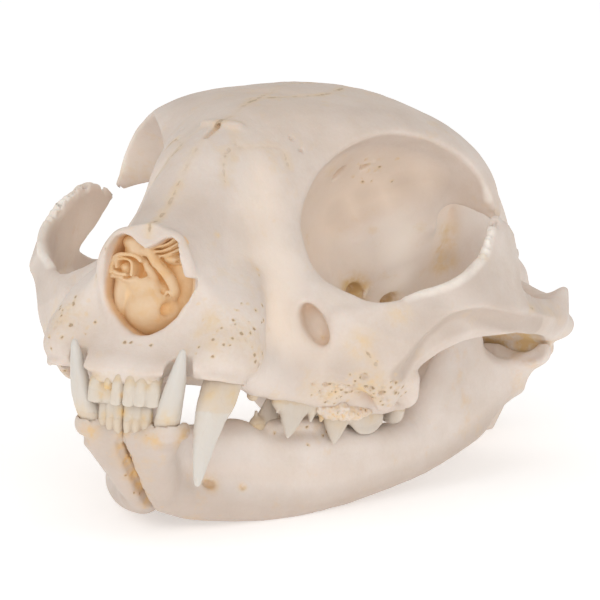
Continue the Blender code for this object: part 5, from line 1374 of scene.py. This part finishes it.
lower_canine = Bone((1.5, -0.5, -13.0), (9.5, 12.5, 5.5), TOOTH_STEP)
lower_canine_root(lower_canine)
lower_canine.bar([(7.4, 1.6, -3.4), (7.9, 0.9, -0.6), (8.0, 0.6, 2.0)],
                 wide=[0.1, 0.14, 0.08], soft=0.3, take=True)
for side, name, node in ((1, "canine_lower_left", "lower_canine_left"),
                         (-1, "canine_lower_right", "lower_canine_right")):
    piece = canine(name, lower_canine, lambda p: p[:, 2] + 4.1,
                   [(6.0, 1.6, -4.0, 1.3, 0.7), (5.0, 3.8, -4.4, 1.4, 0.6)], side)
    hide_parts(node)

# ================================================================ front teeth
# Six tiny upper and six lower front teeth between the canines: narrow pegs with blunt
# three-lobed tips, cream enamel, with yellow deposit at the gum line and dark gaps where
# they have shrunk apart.


FRONT_STEP = 0.09
SIDE_LOBES = (-0.55, 0.55)                    # off the middle, as shares of the half width


def peg(b, gum, neck, tip, wide, thick):
    """One front tooth: root end in the bone, neck, blunt tip."""
    gum, neck, tip = (np.array(v, float) for v in (gum, neck, tip))
    middle = (neck + tip) / 2
    b.bar([gum, neck, middle, tip], wide=[wide * 0.75, wide * 0.94, wide, wide * 0.9],
          thick=[thick, thick, thick * 0.8, thick * 0.45], facing=(1, 0.15, 0), soft=0.08)
    for off in SIDE_LOBES:
        b.bar([middle + (off * wide, 0, 0), middle + (tip - middle) * 0.75 + (off * wide, 0, 0)],
              wide=[wide * 0.42, wide * 0.32], thick=[thick * 0.6, thick * 0.36],
              facing=(1, 0.15, 0), soft=0.12)


front_up = Bone((-6.2, -1.6, -3.6), (6.2, 4.6, 3.4), FRONT_STEP)
for x, y, w, low in ((1.14, 0.6, 0.76, -2.85), (2.54, 0.85, 0.8, -2.75), (3.95, 1.45, 0.9, -2.75),
                     (-0.5, 0.6, 0.7, -2.85), (-1.9, 0.95, 0.56, -1.1), (-3.75, 1.45, 1.0, -2.75)):
    peg(front_up, (x * 0.92, y + 2.0, 2.4), (x * 0.98, y + 0.25, -0.1), (x, y - 0.1, low + 0.25), w, 0.72)
# backing behind the crowns, so that only narrow gaps stay between them
front_up.bar([(1.0, 0.95, -1.2), (2.5, 1.15, -1.2), (4.1, 1.75, -1.2)], wide=1.5, thick=0.55, soft=0.25)
front_up.bar([(-0.2, 0.95, -1.2), (-0.8, 1.0, -1.2)], wide=1.5, thick=0.5, soft=0.25)
front_up.bar([(-1.4, 1.75, -1.1), (-2.6, 1.85, -1.1), (-4.1, 1.9, -1.2)], wide=1.7, thick=0.55, soft=0.25)
upper_front_stains = [(-2.0, 0.9, -0.8, 1.2, 1.2), (0.3, 0.6, -1.6, 0.5, 0.9),
                      (1.85, 0.6, -0.2, 0.6, 0.6), (3.2, 0.9, -0.2, 0.7, 0.6), (4.9, 1.6, 0.0, 0.8, 0.6),
                      (-4.6, 1.4, 0.0, 0.9, 0.8), (-2.9, 1.2, -1.8, 0.6, 0.9), (1.1, 0.2, 0.1, 0.9, 0.5),
                      (-0.5, 0.2, 0.1, 0.8, 0.5)]
FRONT = tooth_material("front_teeth", enamel=(0.655, 0.585, 0.50, 1), tip=(0.65, 0.60, 0.53, 1),
                       root=(0.66, 0.555, 0.435, 1), tartar=(0.72, 0.50, 0.22, 1), roughness=0.38)


def tooth_row(body, neck_line, stains):
    """Points, faces and marks of a row of separate teeth, root ends inside the bone."""
    points, faces = skin(body.field, body.low, body.step, all_parts=True)
    away = outward(points, faces)
    points = points + away * (0.02 * lumps(points, 0.8, 41) + 0.01 * lumps(points, 0.3, 42))[:, None]
    marks = {"neck": neck_line(points), "stain": near_spots(points, stains)}
    return points, faces, marks


cast("front_teeth_upper", *tooth_row(front_up, lambda p: 0.1 - p[:, 2], upper_front_stains), FRONT,
     "tooth_enamel")

front_low = Bone((-5.0, 0.6, -7.4), (5.0, 5.2, -0.6), FRONT_STEP)
for x, y, w, top in ((0.62, 2.0, 0.6, -2.35), (1.66, 2.2, 0.62, -2.3), (2.76, 2.7, 0.66, -2.2),
                     (-0.72, 2.0, 0.62, -2.35), (-1.82, 2.2, 0.64, -2.3), (-3.0, 2.7, 0.7, -2.2)):
    peg(front_low, (x * 0.95, y + 0.8, -7.0), (x * 0.98, y + 0.1, -5.2), (x, y - 0.15, top - 0.25), w, 0.66)
# backing behind the crowns
front_low.bar([(0.55, 2.1, -3.7), (1.7, 2.32, -3.7), (2.9, 2.8, -3.6)], wide=1.4, thick=0.45, soft=0.25)
front_low.bar([(-0.65, 2.1, -3.7), (-1.8, 2.32, -3.7), (-3.1, 2.8, -3.6)], wide=1.4, thick=0.45, soft=0.25)
lower_front_stains = [(0, 1.9, -3.6, 0.9, 1.0), (1.4, 2.0, -4.4, 0.6, 0.8), (-1.4, 2.0, -4.4, 0.6, 0.7),
                      (2.5, 2.2, -4.2, 0.7, 0.9), (3.6, 2.8, -4.0, 0.9, 0.8), (-2.5, 2.2, -4.2, 0.7, 0.7)]
cast("front_teeth_lower", *tooth_row(front_low, lambda p: p[:, 2] + 4.5, lower_front_stains), FRONT,
     "tooth_enamel")

# ================================================================ cheek teeth
# Cutting teeth in the cheeks: upper ones with one tall cusp and a blade behind it, lower
# ones tucked inside them.  Enamel tips, stained necks, roots bared by shrunken bone, and
# the small blunt molar that sits crosswise behind.


def cusp(b, base, tip, wide, thick, soft=0.25):
    """A pointed cusp, sharper toward its tip."""
    base, tip = np.array(base, float), np.array(tip, float)
    b.bar([base, base + (tip - base) * 0.35, base + (tip - base) * 0.75, tip],
          wide=[wide, wide * 0.8, wide * 0.42, 0.2], thick=[thick, thick * 0.86, thick * 0.55, 0.2],
          facing=ALONG_ROW, soft=soft)


def upper_cheek_teeth(b):
    """A stub, the pointed premolar, the long cutting tooth and the molar crosswise behind."""
    # stub behind the canine
    b.bar([(11.0, 14.8, 1.6), (10.7, 14.2, -0.5)], wide=[0.8, 0.72], thick=[0.7, 0.6], soft=0.4)
    # pointed premolar, with its low cusps and two roots
    cusp(b, (13.2, 20.6, -0.5), (13.2, 19.8, -5.1), 2.4, 1.1)
    b.bar([(12.2, 17.9, -1.0), (13.3, 20.8, -1.5), (14.4, 23.7, -1.0)], wide=[0.7, 1.1, 0.8],
          thick=[0.6, 1.0, 0.75], soft=0.5)
    cusp(b, (14.5, 23.3, -0.9), (14.5, 23.0, -3.0), 0.9, 0.7)
    cusp(b, (12.3, 18.2, -0.9), (12.3, 18.2, -2.2), 0.6, 0.5)
    for x, y in ((12.5, 18.4), (14.2, 22.8)):
        b.bar([(x, y, -1.2), (x + 0.2, y + 0.1, 1.8)], wide=[0.75, 0.5], thick=[0.7, 0.5], soft=0.4)
    # cutting tooth: tall cusp, blade behind it, low cusps and three roots
    cusp(b, (16.0, 27.2, -0.9), (15.9, 27.2, -5.5), 2.4, 1.3)
    b.bar([(15.2, 24.9, -1.5), (16.2, 28.2, -1.7), (17.5, 31.8, -2.0), (18.3, 34.3, -1.8)],
          wide=[0.8, 1.2, 1.3, 0.8], thick=[0.8, 1.2, 1.0, 0.6], soft=0.5)
    b.bar([(16.8, 29.6, -1.8), (17.3, 31.2, -3.4), (17.9, 33.2, -3.5), (18.4, 34.6, -2.6)],
          wide=[0.8, 0.7, 0.6, 0.4], thick=[0.6, 0.42, 0.36, 0.3], soft=0.5)
    cusp(b, (15.2, 24.8, -1.2), (15.1, 24.7, -2.9), 0.8, 0.7)
    cusp(b, (13.7, 26.4, -0.6), (13.6, 26.6, -2.3), 0.9, 0.9)
    for x, y in ((15.8, 25.8), (16.6, 28.6), (17.8, 32.9)):
        b.bar([(x, y, -1.4), (x + 0.3, y + 0.1, 2.0)], wide=[0.95, 0.6], thick=[0.9, 0.6], soft=0.5)
    # molar, set crosswise
    b.bar([(16.8, 38.0, -1.2), (18.2, 37.5, -1.6), (19.3, 36.8, -1.6), (20.3, 35.6, -0.8)],
          wide=[0.7, 1.05, 1.05, 0.8], soft=0.3)
    b.bar([(18.0, 37.6, -1.0), (18.0, 37.6, 2.0)], wide=[0.9, 0.6], soft=0.3)


def lower_cheek_teeth(b):
    """Two pointed premolars and the cutting molar with its two blades."""
    # two pointed premolars
    cusp(b, (9.7, 21.2, -4.4), (9.8, 20.9, -0.5), 2.1, 0.95)
    b.bar([(8.9, 19.1, -4.0), (10.5, 23.1, -3.8)], wide=[0.7, 0.7], thick=[0.6, 0.6], soft=0.4)
    cusp(b, (9.0, 19.4, -4.2), (9.0, 19.2, -2.5), 0.6, 0.5)
    cusp(b, (10.5, 23.0, -4.2), (10.5, 23.0, -2.6), 0.6, 0.5)
    cusp(b, (12.3, 26.8, -4.0), (12.4, 26.5, 0.5), 2.4, 1.0)
    b.bar([(11.1, 24.5, -3.6), (13.5, 29.7, -3.3)], wide=[0.8, 0.8], thick=[0.7, 0.7], soft=0.4)
    cusp(b, (11.2, 24.7, -3.8), (11.2, 24.6, -1.9), 0.7, 0.6)
    cusp(b, (13.4, 29.4, -3.6), (13.4, 29.4, -1.8), 0.7, 0.6)
    # the cutting molar's two blades
    cusp(b, (14.5, 32.4, -3.6), (14.2, 31.6, 1.0), 2.1, 0.95)
    cusp(b, (15.7, 35.4, -3.4), (15.6, 36.0, 1.7), 2.1, 0.95)
    # roots
    for x, y in ((9.1, 19.6), (10.3, 22.6), (11.4, 25.2), (13.2, 29.0), (14.4, 32.0), (15.7, 35.6)):
        b.bar([(x, y, -3.8), (x, y, -7.0)], wide=[0.85, 0.6], thick=[0.8, 0.55], soft=0.4)


CHEEK_STEP = 0.11
CHEEK = tooth_material("cheek_teeth", enamel=(0.62, 0.55, 0.475, 1), tip=(0.62, 0.575, 0.52, 1),
                       root=(0.62, 0.50, 0.37, 1), tartar=(0.70, 0.47, 0.18, 1), roughness=0.36)
top_row = Bone((10.0, 13.0, -6.4), (21.0, 40.0, 2.6), CHEEK_STEP)
upper_cheek_teeth(top_row)
low_row = Bone((7.0, 17.6, -7.8), (18.6, 38.6, 2.4), CHEEK_STEP)
lower_cheek_teeth(low_row)
top_stains = [(15.6, 24.6, -2.2, 1.4, 0.8), (16.0, 27.0, -1.6, 2.2, 0.6), (18.0, 32.0, -1.0, 1.8, 0.8),
              (13.0, 21.4, -1.0, 1.6, 0.5), (14.2, 23.4, -1.4, 1.2, 0.6), (12.2, 17.8, -0.6, 1.2, 0.5)]
low_stains = [(11.2, 24.4, -3.8, 1.4, 0.8), (13.4, 29.6, -3.6, 1.4, 0.7), (9.2, 19.4, -4.0, 1.2, 0.6)]
rows = (("upper", tooth_row(top_row, lambda p: -1.1 - p[:, 2], top_stains)),
        ("lower", tooth_row(low_row, lambda p: p[:, 2] + 3.9, low_stains)))
for side, word in ((1, "left"), (-1, "right")):
    for row, (points, faces, marks) in rows:
        cast("cheek_teeth_" + row + "_" + word, points * (side, 1, 1), faces[:, ::side], marks, CHEEK,
             "tooth_enamel")

# ================================================================ tartar
# A crust of hardened tartar on the outer face of the big upper cutting tooth: lumpy,
# chalky, cream with ochre hollows, thicker toward the gum line.

CRUST_STEP = 0.1
crust = Bone((14.0, 23.0, -4.0), (20.6, 34.0, 1.6), CRUST_STEP)
crust.bar([(15.3, 23.4, -1.5), (16.5, 25.0, -1.7), (17.5, 26.9, -1.6), (18.2, 28.8, -1.5),
           (18.7, 30.6, -1.3)], wide=[0.5, 0.95, 1.0, 0.85, 0.45], thick=[0.45, 0.7, 0.8, 0.7, 0.4])
crust.ball((17.4, 25.6, -1.1), (0.8, 1.0, 0.6), soft=0.3)
crust.ball((18.2, 28.2, -1.9), (0.6, 0.9, 0.6), soft=0.3)
points, faces = skin(crust.field, crust.low, crust.step)
move = 0.16 * lumps(points, 0.55, 51) + 0.09 * lumps(points, 0.28, 52) - 0.2 * pits(points, 0.7, 53, 0.5)
# its dips get the crease colour of painted warm bounce light, partly dirt, and more ochre stain
marks = {"hollow": np.clip(-move * 2, -0.4, 0.5), "deep": np.full(len(points), -0.1),
         "seam": np.full(len(points), FAR_OFF), "stain": np.clip(0.45 - move * 3, 0, 0.9),
         "porous": np.full(len(points), 0.3)}
points = points + outward(points, faces) * move[:, None]
cast("tartar_left", points, faces, marks, SKULL_BONE, "tooth_enamel")

# ================================================================ floor, light and camera
# A white paper sweep lit from both sides of the camera, as small museum pieces are
# photographed: hardly any shadow, the top a little darker than the face.

PAPER_HALF = 6.0                             # m from the middle of the paper to its edges
PAPER_UNDER = 0.00002                        # m the paper lies below the skull
floor_mesh = bpy.data.meshes.new("paper")
corners = [(x * PAPER_HALF, y * PAPER_HALF, 0) for x, y in ((-1, -1), (1, -1), (1, 1), (-1, 1))]
floor_mesh.from_pydata(corners, [], [(0, 1, 2, 3)])
floor_mesh.update()
paper = bpy.data.materials.new("white_paper")
paper.use_nodes = True
tree = paper.node_tree
shader = tree.nodes["Principled BSDF"]
fibre = add(tree, "ShaderNodeTexNoise", Vector=add(tree, "ShaderNodeTexCoord").outputs["Object"],
            Scale=900.0, Detail=3.0).outputs[0]
tree.links.new(tint(tree, fibre, (0.86, 0.86, 0.86, 1), (0.83, 0.83, 0.83, 1)), shader.inputs["Base Color"])
shader.inputs["Roughness"].default_value = 0.9
shader.inputs["Emission Color"].default_value = (1.0, 1.0, 1.0, 1.0)
shader.inputs["Emission Strength"].default_value = 0.4
floor_mesh.materials.append(paper)
floor = bpy.data.objects.new("paper", floor_mesh)
bpy.context.scene.collection.objects.link(floor)
floor.location = (0, 0, -PAPER_UNDER)

world = bpy.data.worlds.new("studio")
world.use_nodes = True
sky = world.node_tree.nodes["Background"]
sky.inputs["Color"].default_value = (1.0, 0.99, 0.98, 1.0)
sky.inputs["Strength"].default_value = 0.62
bpy.context.scene.world = world

AZIMUTH, ELEVATION = 25.81, 10.87            # direction of the camera, degrees
DISTANCE = 0.7                               # m from the aim point
AIM = Vector((0.0, 0.035, 0.005))            # aim point in the skull's own frame, m
SIDE_STEP, RISE = 0.00598, 0.00583           # m the camera stands to the right and up
LENS, SENSOR = 339.77, 36.0                  # mm
LAMP_AWAY = 0.95                             # m from each lamp to the skull
turn = Matrix.Rotation(-math.radians(NOSE_UP), 4, "X")
aim = turn @ AIM + Vector((0, -FOOTPRINT_MIDDLE, -FLOOR)) * 0.001
az, el = math.radians(AZIMUTH), math.radians(ELEVATION)
back = Vector((math.sin(az) * math.cos(el), -math.cos(az) * math.cos(el), math.sin(el)))
right_way = Vector((math.cos(az), math.sin(az), 0))
up_way = back.cross(right_way)
camera_data = bpy.data.cameras.new("camera")
camera_data.lens, camera_data.sensor_width = LENS, SENSOR
camera_data.clip_start = 0.05
camera = bpy.data.objects.new("camera", camera_data)
bpy.context.scene.collection.objects.link(camera)
spot = aim + back * DISTANCE + right_way * SIDE_STEP + up_way * RISE
camera.matrix_world = Matrix((*(tuple(column[i] for column in (right_way, up_way, back, spot))
                                for i in range(3)), (0, 0, 0, 1)))
bpy.context.scene.camera = camera

for name, around, rise, watts, wide in (("front_softbox", 0.0, 14.0, 2.5, 0.8),
                                        ("left_softbox", -62.0, 22.0, 0.95, 0.7),
                                        ("right_softbox", 62.0, 18.0, 0.5, 0.7),
                                        ("top_softbox", 0.0, 80.0, 1.2, 0.9)):
    lamp = bpy.data.lights.new(name, "AREA")
    lamp.energy, lamp.size, lamp.color = watts, wide, (1.0, 0.985, 0.97)
    box = bpy.data.objects.new(name, lamp)
    bpy.context.scene.collection.objects.link(box)
    a, e = az + math.radians(around), math.radians(rise)
    way = Vector((math.sin(a) * math.cos(e), -math.cos(a) * math.cos(e), math.sin(e)))
    box.location = way * LAMP_AWAY
    box.rotation_euler = way.to_track_quat("Z", "Y").to_euler()

bpy.context.scene.view_settings.view_transform = "Standard"
